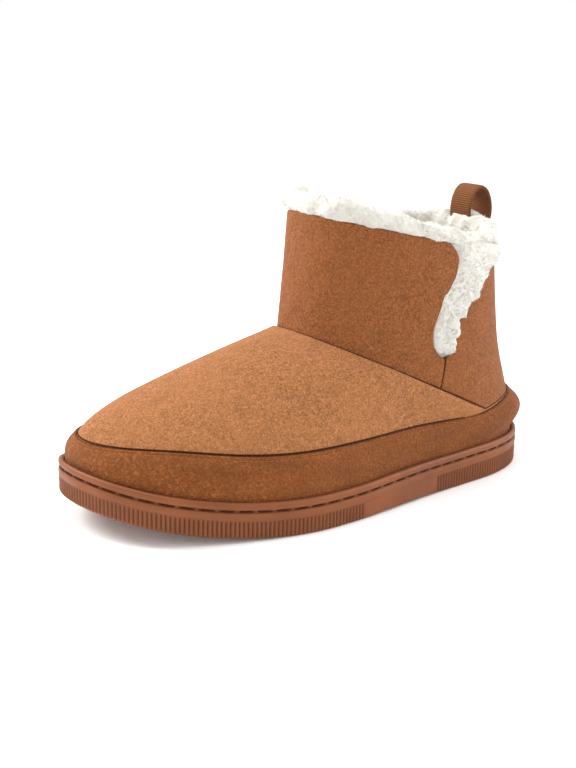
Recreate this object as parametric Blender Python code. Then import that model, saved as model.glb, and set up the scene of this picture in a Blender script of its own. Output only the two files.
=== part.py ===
"""Bootie slipper, left shoe: moulded cup sole, felt upper, suede band, fleece collar, footbed and pull loop.

Metres, +Z up. The toe points to -Y and the outer (lateral) side of the foot is +X.
The origin is on the floor under the middle of the sole.
"""

import math

import bmesh
import bpy
import numpy as np
from mathutils import Matrix, Vector

MM = 0.001

# Sole
SOLE_LENGTH = 270 * MM
BALL_WIDTH = 108 * MM
HEEL_WIDTH = 80 * MM
SOLE_SIDE = 17.7 * MM
HEEL_LIFT = 1.7 * MM
TOE_SPRING = 14 * MM
SPRING_LENGTH = 93 * MM
ARCH_RISE = 0.6 * MM
ARCH_START = 118 * MM
ARCH_LENGTH = 84 * MM
EDGE_ROUND = 2.0 * MM
RIB_PITCH = 2.1 * MM
RIB_DEPTH = 0.6 * MM
PLAIN_START = 128 * MM
PLAIN_LENGTH = 52 * MM
SMOOTH_BAND = 3.8 * MM
WELT_GROOVE = 1.5 * MM
WELT_GROOVE_DEPTH = 0.9 * MM
LIP_HEIGHT = 3.4 * MM
LIP_WIDTH = 2.6 * MM
CUP_DEPTH = 3.0 * MM

# Upper
UPPER_WALL = 2.0 * MM
VAMP_STEP = 1.4 * MM
INSTEP_REACH = 119 * MM
INSTEP_HEIGHT = 84.5 * MM
QUARTER_REACH = 214 * MM
QUARTER_HEIGHT = 40.7 * MM
SEAM_LENGTH = 138 * MM
SEAM_WIDTH = 88 * MM
SEAM_CLEAR = 1.5 * MM
VAMP_FADE = 8.0 * MM
HEEL_BULGE = 7.2 * MM
HEEL_HOLLOW = 5.0 * MM
COLLAR_REACH = 125 * MM
COLLAR_LENGTH = 116 * MM
COLLAR_WIDTH = 86 * MM
COLLAR_FRONT_HEIGHT = 143.5 * MM
COLLAR_BACK_HEIGHT = 117.5 * MM
SHAFT_OFFSET = -2.0 * MM

# Side notch in the collar
NOTCH_REACH = 185 * MM
NOTCH_WIDTH = 16 * MM
NOTCH_BOTTOM = 73 * MM
NOTCH_FLARE = 40 * MM

# Suede band round the foot
BAND_WALL = 2.0 * MM
BAND_HEIGHT = 27.5 * MM

# Fleece
PILE = 6.0 * MM
ROLL_RISE = 9.5 * MM
ROLL_WIDTH = 11.0 * MM
PILE_GAP = 0.5 * MM
NOTCH_PILE = 1.0 * MM
PILE_FOOT = 1.14
LOCK_LENGTH = 7.5 * MM
LOCK_WIDTH = 8.0 * MM
LOCK_COUNT = 22
LOCK_FREE = 0.07
LUMP = 0.8 * MM

# Footbed
INSOLE_THICKNESS = 6.0 * MM
INSOLE_EDGE = 2.4 * MM

# Pull loop
TAPE_WIDTH = 16 * MM
TAPE_THICKNESS = 1.8 * MM
LOOP_TOP_RISE = 35 * MM
LOOP_DEPTH = 17 * MM
LOOP_OPENING = 26 * MM
LOOP_TAIL = 12 * MM

# Clearance that meeting pieces keep, and points round each ring
GAP = 0.36 * MM
AROUND = 64
HALF = AROUND // 2
PILE_AROUND = 60

# Rings of the upper: shares of the vamp from band to seam, then levels up the shaft
VAMP_RINGS = (0.2, 0.45, 0.72, 1.0)
SHAFT_RINGS = (1.0, 1.33, 1.67, 2.0)

# Steps to either side of a point that give the slope of the skin there
SHARE_STEP = 0.004
LEVEL_STEP = 0.02

# How the ring points bunch toward the front of the shaft, and how round its oval is
TURN_POWER = 1.5
OVAL_POWER = 0.86

# Sole outline: station from the toe as a share of the length, middle line as a share of
# the ball width, half width as a share of the width there
STATION, MIDDLE, HALF_WIDTH = range(3)
SOLE_OUTLINE = (
    (0.00, -0.106, 0.000),
    (0.03, -0.088, 0.241),
    (0.08, -0.069, 0.361),
    (0.15, -0.052, 0.440),
    (0.25, -0.021, 0.492),
    (0.35, 0.014, 0.500),
    (0.45, 0.034, 0.484),
    (0.55, 0.037, 0.477),
    (0.65, 0.020, 0.489),
    (0.75, -0.004, 0.507),
    (0.85, -0.025, 0.486),
    (0.92, -0.038, 0.410),
    (0.97, -0.046, 0.272),
    (1.00, -0.051, 0.000),
)

# Foot profile from the sole to the seam: share of the way round from toe to heel,
# fullness of the curve, part of the height that the rounded side takes
SHARE, FULLNESS, SIDE_PART = range(3)
FOOT_PROFILE = (
    (0.00, 3.30, 0.53),
    (0.15, 2.70, 0.48),
    (0.30, 2.70, 0.54),
    (0.45, 2.10, 0.75),
    (0.60, 1.55, 0.92),
    (0.75, 1.20, 1.00),
    (1.00, 1.10, 1.00),
)

# Band height: share of the way round from toe to heel, share of the band height
BAND_SHARE, BAND_PART = range(2)
BAND_RISE = (
    (0.00, 0.53),
    (0.20, 0.68),
    (0.40, 0.75),
    (0.58, 0.71),
    (0.74, 0.67),
    (0.86, 0.90),
    (1.00, 1.00),
)

# Notch, up each edge from the bottom: share of the height from there to the collar, front
# edge and rear edge as shares of the notch width, rear edge's share of the flare
UP, FRONT, REAR, FLARE = range(4)
NOTCH_EDGE = (
    (0.00, -0.20, 0.18, 0.00),
    (0.09, -0.47, 0.34, 0.00),
    (0.23, -0.50, 0.34, 0.02),
    (0.37, -0.40, 0.26, 0.20),
    (0.53, -0.20, 0.26, 0.44),
    (0.71, 0.10, 0.26, 0.74),
    (0.81, 0.24, 0.30, 0.98),
    (0.885, 0.10, 0.40, 1.14),
    (1.195, -0.40, 0.40, 1.60),
)

# Fleece roll section: outward share of the roll width, height as a share of the rise
ROLL_OUT, ROLL_UP = range(2)
ROLL_SECTION = (
    (0.04, 0.03),
    (0.10, 0.35),
    (0.02, 0.75),
    (-0.28, 1.00),
    (-0.66, 0.88),
    (-0.90, 0.45),
    (-0.92, -0.20),
)

# Height of the roll round the collar: share of the way round from the front, outer side
# first, and share of the roll's rise
ROLL_WAY, ROLL_PART = range(2)
ROLL_HEIGHT = (
    (0.00, 1.05),
    (0.12, 1.00),
    (0.26, 0.92),
    (0.38, 1.35),
    (0.50, 1.95),
    (0.58, 1.80),
    (0.66, 1.20),
    (0.76, 1.08),
    (0.88, 1.00),
    (1.00, 1.05),
)

TOE_Y = -SOLE_LENGTH / 2
FEATHER_INSET = LIP_WIDTH + GAP + BAND_WALL + GAP


def column(rows, index):
    return np.array([row[index] for row in rows])


def curve(stations, values, at, level_ends=True):
    """Smooth curve through the rows of a table, level at both ends where it meets its mirror."""
    stations = np.asarray(stations, float)
    values = np.asarray(values, float)
    slopes = np.gradient(values, stations)
    if level_ends:
        slopes[[0, -1]] = 0
    at = np.clip(at, stations[0], stations[-1])
    i = np.clip(np.searchsorted(stations, at, side="right") - 1, 0, len(stations) - 2)
    width = stations[i + 1] - stations[i]
    t = (at - stations[i]) / width
    rise = values[i + 1] - values[i]
    start = slopes[i] * width
    end = slopes[i + 1] * width
    return (values[i] + start * t + (3 * rise - 2 * start - end) * t ** 2
            + (start + end - 2 * rise) * t ** 3)


def ease(t):
    t = np.clip(t, 0, 1)
    return t * t * (3 - 2 * t)


def sole_edge():
    """Dense plan outline: shares 0 to 1 run toe to heel outside, 1 to 2 back inside."""
    steps = 800
    turn = np.linspace(0, math.pi, steps + 1)
    station = (1 - np.cos(turn)) / 2
    rows = column(SOLE_OUTLINE, STATION)
    narrowing = ease((station - 0.35) / 0.45)
    width = BALL_WIDTH + (HEEL_WIDTH - BALL_WIDTH) * narrowing
    row_turn = np.arccos(1 - 2 * rows)
    half = curve(row_turn, column(SOLE_OUTLINE, HALF_WIDTH), turn, level_ends=False) * width
    middle = curve(rows, column(SOLE_OUTLINE, MIDDLE), station, level_ends=False) * BALL_WIDTH
    y = TOE_Y + station * SOLE_LENGTH
    shift = (np.max(middle + half) + np.min(middle - half)) / 2
    shares, points = [], []
    for side, order in ((1, slice(None)), (-1, slice(None, None, -1))):
        xy = np.column_stack([middle + side * half - shift, y])[order]
        length = np.concatenate([[0], np.cumsum(np.hypot(*np.diff(xy, axis=0).T))])
        start = 0 if side == 1 else 1
        shares.append((start + length / length[-1])[:-1])
        points.append(xy[:-1])
    return np.concatenate(shares), np.concatenate(points)


EDGE_SHARES, EDGE_POINTS = sole_edge()
EDGE_SLOPE = (np.roll(EDGE_POINTS, -1, axis=0) - np.roll(EDGE_POINTS, 1, axis=0))
EDGE_INWARD = np.column_stack([-EDGE_SLOPE[:, 1], EDGE_SLOPE[:, 0]])
EDGE_INWARD /= np.linalg.norm(EDGE_INWARD, axis=1)[:, None]


def around(share, values):
    return np.interp(np.mod(share, 2), EDGE_SHARES, values, period=2)


def outline(share, inset=0.0):
    """Plan points of the sole's edge, moved inward by inset."""
    x = around(share, EDGE_POINTS[:, 0]) + inset * around(share, EDGE_INWARD[:, 0])
    y = around(share, EDGE_POINTS[:, 1]) + inset * around(share, EDGE_INWARD[:, 1])
    return np.stack([x, y], axis=-1)


def ground(y):
    """Height of the sole's underside: toe spring in front, a shallow arch under the waist."""
    spring = np.clip(1 - (y - TOE_Y) / SPRING_LENGTH, 0, 1) ** 2
    arch = np.clip((y - TOE_Y - ARCH_START) / ARCH_LENGTH, 0, 1)
    return TOE_SPRING * spring + ARCH_RISE * np.sin(math.pi * arch) ** 2


def sole_top(y):
    """Height of the lip above the floor: the side of the sole grows toward the heel."""
    heel = ease(((y - TOE_Y) / SOLE_LENGTH - 0.4) / 0.5)
    return ground(y) + SOLE_SIDE + HEEL_LIFT * heel


def upper_foot(y):
    """Height of the upper's foot, just clear of the floor of the cup."""
    return sole_top(y) - CUP_DEPTH + GAP


def toe_to_heel(share):
    """Share of the way from toe to heel, and which side: 1 outside, -1 inside."""
    share = np.mod(share, 2)
    return np.where(share <= 1, share, 2 - share), np.where(share <= 1, 1.0, -1.0)


def ring_shares():
    """Shares of the ring points, closer together round toe and heel."""
    step = np.arange(HALF) / HALF
    spread = step - 0.035 * np.sin(2 * math.pi * step)
    return np.concatenate([spread, 2 - np.concatenate([[1.0], spread[:0:-1]])])


SHARES = ring_shares()


def band_top(share):
    """Height of the band's top edge above the floor."""
    way, _ = toe_to_heel(share)
    rise = curve(column(BAND_RISE, BAND_SHARE), column(BAND_RISE, BAND_PART), way) * BAND_HEIGHT
    return sole_top(outline(share)[..., 1]) + rise


def shaft_turn(share):
    """Angle round the shaft from its front that a share of the sole's edge belongs to."""
    way, side = toe_to_heel(share)
    return math.pi * way ** TURN_POWER, side


def oval(share, front, length, width):
    turn, side = shaft_turn(share)
    y = TOE_Y + front + length / 2 * (1 - np.cos(turn))
    x = SHAFT_OFFSET + side * width / 2 * np.sin(turn) ** OVAL_POWER
    return x, y


def seam_line(share):
    """Where the vamp ends at the shaft: high over the instep, down to the band behind."""
    x, y = oval(share, INSTEP_REACH, SEAM_LENGTH, SEAM_WIDTH)
    back = (y - TOE_Y - INSTEP_REACH) / (QUARTER_REACH - INSTEP_REACH)
    z = INSTEP_HEIGHT + (QUARTER_HEIGHT - INSTEP_HEIGHT) * back
    return np.stack([x, y, np.maximum(z, band_top(share) + SEAM_CLEAR)], axis=-1)


def collar_height(reach):
    """Height of the collar's edge at a distance behind the toe."""
    back = (reach - COLLAR_REACH) / COLLAR_LENGTH
    return COLLAR_FRONT_HEIGHT + (COLLAR_BACK_HEIGHT - COLLAR_FRONT_HEIGHT) * back


def collar_line(share):
    x, y = oval(share, COLLAR_REACH, COLLAR_LENGTH, COLLAR_WIDTH)
    return np.stack([x, y, collar_height(y - TOE_Y)], axis=-1)


def rearness(share):
    """0 on the front and sides of the shoe, 1 at the middle of the heel."""
    way, _ = toe_to_heel(share)
    return ease((way - 0.72) / 0.28)


def foot_curves(share):
    """Side profiles of the foot part, one row of points from sole to seam for each share."""
    way, _ = toe_to_heel(share)
    fullness = curve(column(FOOT_PROFILE, SHARE), column(FOOT_PROFILE, FULLNESS), way)[:, None]
    side_part = curve(column(FOOT_PROFILE, SHARE), column(FOOT_PROFILE, SIDE_PART), way)[:, None]
    edge = outline(share, FEATHER_INSET)
    foot = upper_foot(edge[:, 1])
    top = seam_line(share)
    turn = np.linspace(0, math.pi / 2, 73)[None, :]
    across = 1 - np.clip(np.cos(turn), 0, 1) ** (2 / fullness)
    up = np.clip(np.sin(turn), 0, 1) ** (2 / fullness)
    tall = (1 - side_part) * across + side_part * up
    z = foot[:, None] + (top[:, 2] - foot)[:, None] * tall
    lip = (foot + CUP_DEPTH + GAP)[:, None]
    over_lip = np.clip((z - lip) / (top[:, 2][:, None] - lip), 0, 1)
    swell = (HEEL_BULGE * rearness(share))[:, None] * np.sin(math.pi * over_lip) ** 2
    outward = edge - outline(share, FEATHER_INSET + MM)
    plan = edge[:, None] + (top[:, :2] - edge)[:, None] * across[..., None]
    plan = plan + swell[..., None] * (outward / MM)[:, None]
    return np.concatenate([plan, z[..., None]], axis=-1)


def along_rows(points, share_of_row):
    """Point at a share of the length of each row of points."""
    steps = np.linalg.norm(np.diff(points, axis=1), axis=2)
    length = np.concatenate([np.zeros((len(points), 1)), np.cumsum(steps, axis=1)], axis=1)
    goal = (np.clip(share_of_row, 0, 1) * length[:, -1])[:, None]
    i = np.clip((length <= goal).sum(axis=1) - 1, 0, points.shape[1] - 2)
    row = np.arange(len(points))
    span = np.maximum(length[row, i + 1] - length[row, i], 1e-12)
    part = ((goal[:, 0] - length[row, i]) / span)[:, None]
    return points[row, i] * (1 - part) + points[row, i + 1] * part


def skin(share, level):
    """The upper's outer surface: level 0 at the sole, 1 at the vamp seam, 2 at the collar."""
    share, level = np.broadcast_arrays(np.asarray(share, float), np.asarray(level, float))
    foot = along_rows(foot_curves(share), level)
    rise = np.clip(level - 1, 0, None)[:, None]
    low = seam_line(share)
    shaft = low + (collar_line(share) - low) * rise
    hollow = HEEL_HOLLOW * rearness(share) * np.sin(math.pi * np.clip(rise[:, 0], 0, 1))
    shaft[:, 1] -= hollow
    return np.where((level <= 1)[:, None], foot, shaft)


def level_at(share, height):
    """Level on the foot part that lies at a height above the floor."""
    rows = foot_curves(share)
    steps = np.linalg.norm(np.diff(rows, axis=1), axis=2)
    length = np.concatenate([np.zeros((len(rows), 1)), np.cumsum(steps, axis=1)], axis=1)
    return np.array([np.interp(h, row[:, 2], way / way[-1])
                     for h, row, way in zip(height, rows, length)])


def shell(share, level, offset, low=0.0, high=2.0):
    """Points at an offset outward from the skin; low and high are its nearest creases."""
    share, level = np.broadcast_arrays(np.asarray(share, float), np.asarray(level, float))
    point = skin(share, level)
    beside = skin(share + SHARE_STEP, level) - skin(share - SHARE_STEP, level)
    above = skin(share, np.minimum(level + LEVEL_STEP, high))
    below = skin(share, np.maximum(level - LEVEL_STEP, low))
    normal = np.cross(beside, above - below)
    foot = upper_foot(point[:, 1])
    free = ease((point[:, 2] - foot) / (2 * CUP_DEPTH))
    normal[:, 2] *= free
    normal /= np.linalg.norm(normal, axis=1)[:, None]
    point = point + normal * np.broadcast_to(offset, share.shape)[:, None]
    point[:, 2] += (1 - free) * (upper_foot(point[:, 1]) - foot)
    return point


def clear_scene():
    for item in list(bpy.data.objects):
        bpy.data.objects.remove(item, do_unlink=True)


def new_collection(name):
    collection = bpy.data.collections.new(name)
    bpy.context.scene.collection.children.link(collection)
    return collection


def new_material(name, color, roughness):
    material = bpy.data.materials.new(name)
    material.use_nodes = True
    shader = material.node_tree.nodes["Principled BSDF"]
    shader.inputs["Base Color"].default_value = (*color, 1)
    shader.inputs["Roughness"].default_value = roughness
    shader.inputs["Metallic"].default_value = 0.0
    return material


def new_object(name, bm, collection, material=None, sharp=40):
    bmesh.ops.recalc_face_normals(bm, faces=bm.faces)
    mesh = bpy.data.meshes.new(name)
    bm.to_mesh(mesh)
    bm.free()
    if material:
        mesh.materials.append(material)
        mesh.shade_smooth()
        mesh.set_sharp_from_angle(angle=math.radians(sharp))
    item = bpy.data.objects.new(name, mesh)
    collection.objects.link(item)
    return item


def add_ring(bm, points):
    return [bm.verts.new(point) for point in points]


def join_rings(bm, low, high):
    count = len(low)
    for i in range(count):
        j = (i + 1) % count
        bm.faces.new((low[i], low[j], high[j], high[i]))


def fill_across(bm, ring):
    """Closes a ring with strips from the outer side of the foot to the inner side."""
    bm.faces.new((ring[0], ring[1], ring[-1]))
    half = len(ring) // 2
    for i in range(1, half - 1):
        bm.faces.new((ring[i], ring[i + 1], ring[-i - 1], ring[-i]))
    bm.faces.new((ring[half - 1], ring[half], ring[half + 1]))


def hollow_form(rings):
    """A wall that runs right round: each ring joins the next, and the last the first."""
    bm = bmesh.new()
    loops = [add_ring(bm, ring) for ring in rings]
    for low, high in zip(loops, loops[1:] + loops[:1]):
        join_rings(bm, low, high)
    bmesh.ops.triangulate(bm, faces=bm.faces, quad_method="SHORT_EDGE")
    return bm


def boolean(target, operation, other):
    modifier = target.modifiers.new(operation.title(), "BOOLEAN")
    modifier.operation = operation
    modifier.object = other
    modifier.solver = "EXACT"
    other.hide_render = True
    other.display_type = "WIRE"
    return modifier


def sole_ring(share, inset, up):
    """Ring on the sole's edge, above the underside where up is positive, below the lip where not."""
    plan = outline(share, inset)
    base = np.where(up > 0, ground(plan[:, 1]), sole_top(plan[:, 1]))
    return np.column_stack([plan, base + up])


def rib_shares():
    """For each step round the sole, the shares of its rib crests and troughs."""
    ends = np.append(SHARES, 2.0)
    steps = []
    for start, end in zip(ends[:-1], ends[1:]):
        length = np.linalg.norm(outline(end) - outline(start))
        reach = outline((start + end) / 2)[1] - TOE_Y
        plain = PLAIN_START < reach < PLAIN_START + PLAIN_LENGTH
        count = 1 if plain else 2 * max(1, round(length / RIB_PITCH))
        part = np.arange(count) / count
        steps.append([(start + (end - start) * p, k % 2) for k, p in enumerate(part)])
    return steps


def join_ribs(bm, smooth, fine, upper):
    """Joins a smooth ring to a ribbed one, with one face for each step round the sole."""
    for i, group in enumerate(fine):
        j = (i + 1) % len(fine)
        ribs = list(group) + [fine[j][0]]
        edge = [smooth[i], smooth[j]]
        bm.faces.new(ribs + edge[::-1] if upper else edge + ribs[::-1])


def make_outsole(collection, material):
    """Cup sole: ribbed side, plain at the waist, a convex band, the stitch groove and the lip."""
    steps = rib_shares()
    flat = [item for group in steps for item in group]
    share = np.array([item[0] for item in flat])
    trough = np.array([item[1] for item in flat]) * RIB_DEPTH
    groove_top = -LIP_HEIGHT
    groove_low = groove_top - WELT_GROOVE
    rib_top = groove_low - SMOOTH_BAND
    step = 0.1 * MM
    bm = bmesh.new()
    bottom = outline(SHARES, EDGE_ROUND)
    bottom = add_ring(bm, np.column_stack([bottom, ground(bottom[:, 1])]))
    fill_across(bm, bottom)
    ribbed = []
    for inset, height in ((0.35 * EDGE_ROUND, 0.7 * EDGE_ROUND), (0.0, rib_top)):
        points = iter(add_ring(bm, sole_ring(share, inset + trough, height)))
        ribbed.append([[next(points) for _ in group] for group in steps])
    join_ribs(bm, bottom, ribbed[0], False)
    join_rings(bm, sum(ribbed[0], []), sum(ribbed[1], []))
    side = (
        (step, rib_top + step),
        (-2.5 * step, rib_top + 0.5 * SMOOTH_BAND),
        (step, groove_low),
        (WELT_GROOVE_DEPTH, groove_low + 0.15 * WELT_GROOVE),
        (WELT_GROOVE_DEPTH, groove_top - 0.15 * WELT_GROOVE),
        (step, groove_top),
        (-2 * step, -0.5 * LIP_HEIGHT),
        (3 * step, -0.15 * LIP_HEIGHT),
        (0.4 * LIP_WIDTH, 0.0),
        (LIP_WIDTH, -0.1 * LIP_HEIGHT),
        (LIP_WIDTH, -CUP_DEPTH),
    )
    previous = add_ring(bm, sole_ring(SHARES, *side[0]))
    join_ribs(bm, previous, ribbed[1], True)
    for inset, height in side[1:]:
        ring = add_ring(bm, sole_ring(SHARES, inset, height))
        join_rings(bm, previous, ring)
        previous = ring
    fill_across(bm, previous)
    return new_object("outsole", bm, collection, material, sharp=35)


def vamp_lift(share, part):
    """Thickness added to the vamp as it nears the seam, none where the band covers the seam."""
    above_band = (seam_line(share)[:, 2] - band_top(share)) / VAMP_FADE
    return VAMP_STEP * ease(above_band) * ease((part - 0.35) / 0.5)


def band_levels():
    """Levels that the band and the upper share: foot, lip of the sole, two thirds, top edge."""
    top = level_at(SHARES, band_top(SHARES))
    lip = level_at(SHARES, upper_foot(skin(SHARES, 0)[:, 1]) + CUP_DEPTH + GAP)
    return [0 * top] + [lip + (top - lip) * part / 3 for part in range(4)]


def make_upper(collection, cutters, material):
    """Felt foot and shaft in one wall, a step up at the vamp seam, open below and at the collar."""
    low = band_levels()
    high = [low[-1] + (1 - low[-1]) * part for part in VAMP_RINGS]
    rings = [shell(SHARES, level, 0) for level in low]
    for level, part in zip(high, VAMP_RINGS):
        rings.append(shell(SHARES, level, vamp_lift(SHARES, part), high=1.0))
    rings += [shell(SHARES, level, 0) for level in SHAFT_RINGS]
    rings += [shell(SHARES, level, -UPPER_WALL) for level in SHAFT_RINGS[::-1]]
    rings += [shell(SHARES, level, -UPPER_WALL) for level in (low + high[:-1])[::-1]]
    upper = new_object("upper", hollow_form(rings), collection, material)
    notch = new_object("notch_cut", notch_form(0), cutters)
    boolean(upper, "DIFFERENCE", notch)
    return upper


def notch_form(inset):
    """A prism across the outer wall of the shaft with the notch's outline, drawn in by inset."""
    middle = TOE_Y + NOTCH_REACH
    z = NOTCH_BOTTOM + column(NOTCH_EDGE, UP) * (collar_height(NOTCH_REACH) - NOTCH_BOTTOM) + inset
    front = middle + column(NOTCH_EDGE, FRONT) * NOTCH_WIDTH + inset
    rear = middle + column(NOTCH_EDGE, REAR) * NOTCH_WIDTH - inset
    rear = rear + column(NOTCH_EDGE, FLARE) * NOTCH_FLARE
    bm = bmesh.new()
    sides = []
    for x in (SHAFT_OFFSET + 0.1 * COLLAR_WIDTH, SHAFT_OFFSET + 0.75 * COLLAR_WIDTH):
        up_front = [(x, *point) for point in zip(front, z)]
        down_rear = [(x, *point) for point in zip(rear[::-1], z[::-1])]
        sides.append(add_ring(bm, up_front + down_rear))
    join_rings(bm, *sides)
    for side in sides:
        count = len(side)
        for i in range(count // 2 - 1):
            bm.faces.new((side[i], side[i + 1], side[-i - 2], side[-i - 1]))
    return bm


def make_band(collection, material):
    """Suede band on the foot part of the upper, its foot inside the lip of the sole."""
    outer = GAP + BAND_WALL
    levels = band_levels()
    rings = [shell(SHARES, level, outer) for level in levels[:-1] + [0.96 * levels[-1]]]
    rings.append(shell(SHARES, levels[-1], outer - 0.3 * BAND_WALL))
    rings += [shell(SHARES, level, GAP) for level in levels[::-1]]
    return new_object("suede_band", hollow_form(rings), collection, material)


def make_insole(collection, material):
    """Footbed inside the upper, on the floor of the cup, its top edge rounded over."""
    edge = UPPER_WALL + GAP
    foot = upper_foot(skin(SHARES, 0)[:, 1])
    bm = bmesh.new()
    loops = []
    for part, inset in ((0, 0), (0.75, 0), (1.0, INSOLE_EDGE)):
        up = part * INSOLE_THICKNESS
        points = shell(SHARES, level_at(SHARES, foot + up), -edge - inset)
        points[:, 2] = upper_foot(points[:, 1]) + up
        loops.append(add_ring(bm, points))
    for low, high in zip(loops, loops[1:]):
        join_rings(bm, low, high)
    fill_across(bm, loops[0])
    fill_across(bm, loops[-1])
    return new_object("insole", bm, collection, material)


def collar_shares():
    """Shares of the fleece's ring points, evenly spaced in angle round the shaft."""
    turn = np.arange(PILE_AROUND // 2) / (PILE_AROUND // 2)
    way = turn ** (1 / TURN_POWER)
    return np.concatenate([way, 2 - np.concatenate([[1.0], way[:0:-1]])])


def shaft_way(share):
    """Share of the way round the shaft from its front, outer side first."""
    turn, side = shaft_turn(share)
    return np.where(side > 0, turn, 2 * math.pi - turn) / (2 * math.pi)


def lumps(share, row):
    """Uneven pile: waves round the collar that drift from row to row."""
    turn = 2 * math.pi * shaft_way(share)
    return LUMP * (np.sin(13 * turn + 0.8 * row) + 0.6 * np.sin(22 * turn - 0.9 * row + 1)
                   + 0.4 * np.sin(31 * turn + 0.7 * row + 2)) / 1.4


def flat_outward(share):
    outward = shell(share, 2.0, MM) - skin(share, 2.0)
    outward[:, 2] = 0
    return outward / np.linalg.norm(outward, axis=1)[:, None]


def roll_point(share, out, up, row):
    """Points on the rolled top of the fleece, at shares of its width and rise."""
    ways, parts = column(ROLL_HEIGHT, ROLL_WAY), column(ROLL_HEIGHT, ROLL_PART)
    rise = curve(ways, parts, shaft_way(share)) * ROLL_RISE
    free = ease((up - 0.1) / 0.4)
    reach = out * ROLL_WIDTH + lumps(share, row) * (0.3 + 0.7 * free)
    points = skin(share, 2.0) + flat_outward(share) * reach[:, None]
    points[:, 2] += PILE_GAP + up * rise + lumps(share, row + 3) * free
    return points


def notch_pile(collection):
    """The fleece that shows in the notch, cut from a thicker wall of the shaft's own form."""
    share = collar_shares()
    wall = (-UPPER_WALL - PILE_GAP - PILE / 2, NOTCH_PILE)
    levels = np.linspace(PILE_FOOT, 2.0, 4)
    rings = [shell(share, level, wall[1] + 0.7 * lumps(share, 5 * level)) for level in levels]
    crest = rings[-1] + np.array([0, 0, 0.3 * ROLL_RISE])
    inner = [shell(share, level, wall[0]) for level in levels[::-1]]
    rings += [crest, inner[0] + np.array([0, 0, 0.3 * ROLL_RISE])] + inner
    pile = new_object("notch_pile", hollow_form(rings), collection)
    opening = new_object("notch_pile_edge", notch_form(PILE_GAP), collection)
    boolean(opening, "INTERSECT", pile)
    return opening


def pile_locks(collection):
    """Locks of fleece set round the roll, clear of the loop, each a tuft sunk deep into it."""
    bm = bmesh.new()
    for k in range(LOCK_COUNT):
        way = (k + 0.12 * math.sin(2.4 * k)) / LOCK_COUNT
        if abs(way - 0.5) < LOCK_FREE:
            continue
        turn = (2 * min(way, 1 - way)) ** (1 / TURN_POWER)
        share = np.array([turn if way <= 0.5 else 2 - turn])
        row = 2 + k % 3
        root = Vector(roll_point(share, *ROLL_SECTION[row], row)[0])
        core = Vector(roll_point(share, -0.4, 0.35, 3)[0])
        point = (root - core).normalized() + Vector((0, 0, 0.3 * math.sin(5.0 * k)))
        turned = point.to_track_quat("Z", "Y").to_matrix().to_4x4()
        size = 1 + 0.2 * math.sin(3.7 * k)
        shape = Matrix.Diagonal((LOCK_WIDTH * size, LOCK_WIDTH, LOCK_LENGTH * size, 1))
        place = Matrix.Translation(root - 0.2 * point * LOCK_LENGTH)
        bmesh.ops.create_icosphere(bm, subdivisions=1, radius=0.5, matrix=place @ turned @ shape)
    return new_object("pile_locks", bm, collection)


def make_fleece(collection, cutters, material):
    """Fleece lining of the shaft with a rolled top, filling the notch, with locks fused on."""
    share = collar_shares()
    outside = UPPER_WALL + PILE_GAP
    inside = outside + PILE
    levels = np.linspace(PILE_FOOT, 2.0, 4)
    rings = [shell(share, level, -outside) for level in levels]
    rings[-1][:, 2] += PILE_GAP
    for row, (out, up) in enumerate(ROLL_SECTION):
        rings.append(roll_point(share, out, up, row))
    for level in levels[-2::-1]:
        rings.append(shell(share, level, -inside + 0.4 * lumps(share, 8 * level)))
    fleece = new_object("fleece_collar", hollow_form(rings), collection, material)
    boolean(fleece, "UNION", notch_pile(cutters))
    boolean(fleece, "UNION", pile_locks(cutters))
    boolean(fleece, "DIFFERENCE", loop_room(cutters))
    return fleece


def loop_places():
    """Middle of the loop and the line of its tail, up the inside of the curved heel."""
    edge_turn = math.asin((TAPE_WIDTH / COLLAR_WIDTH) ** (1 / OVAL_POWER))
    bow = COLLAR_LENGTH / 2 * (1 - math.cos(edge_turn))
    inside = -UPPER_WALL - PILE_GAP - bow - TAPE_THICKNESS / 2
    low, rim = (shell(np.array([1.0]), level, inside)[0] for level in (1.84, 2.0))
    lean = (rim[1] - low[1]) / (rim[2] - low[2])
    middle = COLLAR_BACK_HEIGHT + LOOP_TOP_RISE - LOOP_OPENING / 2
    tail = [COLLAR_BACK_HEIGHT - LOOP_TAIL, middle - LOOP_OPENING / 2 + TAPE_THICKNESS / 2]
    return middle, [(rim[1] + lean * (z - rim[2]), z) for z in tail]


def tape_form(outline_points, width):
    """A closed outline in the plane of the heel, given the width of the tape."""
    bm = bmesh.new()
    sides = [add_ring(bm, [(SHAFT_OFFSET + x * width / 2, y, z) for y, z in outline_points])
             for x in (-1, 1)]
    join_rings(bm, *sides)
    bm.faces.new(sides[0])
    bm.faces.new(sides[1][::-1])
    return bm


def loop_outline(inset, steps=28):
    middle, (_, neck) = loop_places()
    return [(neck[0] + (LOOP_DEPTH / 2 - inset) * math.cos(2 * math.pi * k / steps),
             middle + (LOOP_OPENING / 2 - inset) * math.sin(2 * math.pi * k / steps))
            for k in range(steps)]


def tail_outline(margin, behind, above):
    _, (low, neck) = loop_places()
    half = TAPE_THICKNESS / 2
    return [(low[0] - half - margin, low[1] - margin), (low[0] + half + behind, low[1] - margin),
            (neck[0] + half + behind, neck[1] + above), (neck[0] - half - margin, neck[1] + above)]


def loop_room(collection):
    """The room that the tape takes in the fleece: open behind the tape, above the felt's edge."""
    width = TAPE_WIDTH + 2 * PILE_GAP
    room = new_object("loop_room", tape_form(loop_outline(-PILE_GAP), width), collection)
    tail = tape_form(tail_outline(PILE_GAP, ROLL_WIDTH, LOOP_OPENING / 4), width)
    boolean(room, "UNION", new_object("tail_room", tail, collection))
    return room


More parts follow.
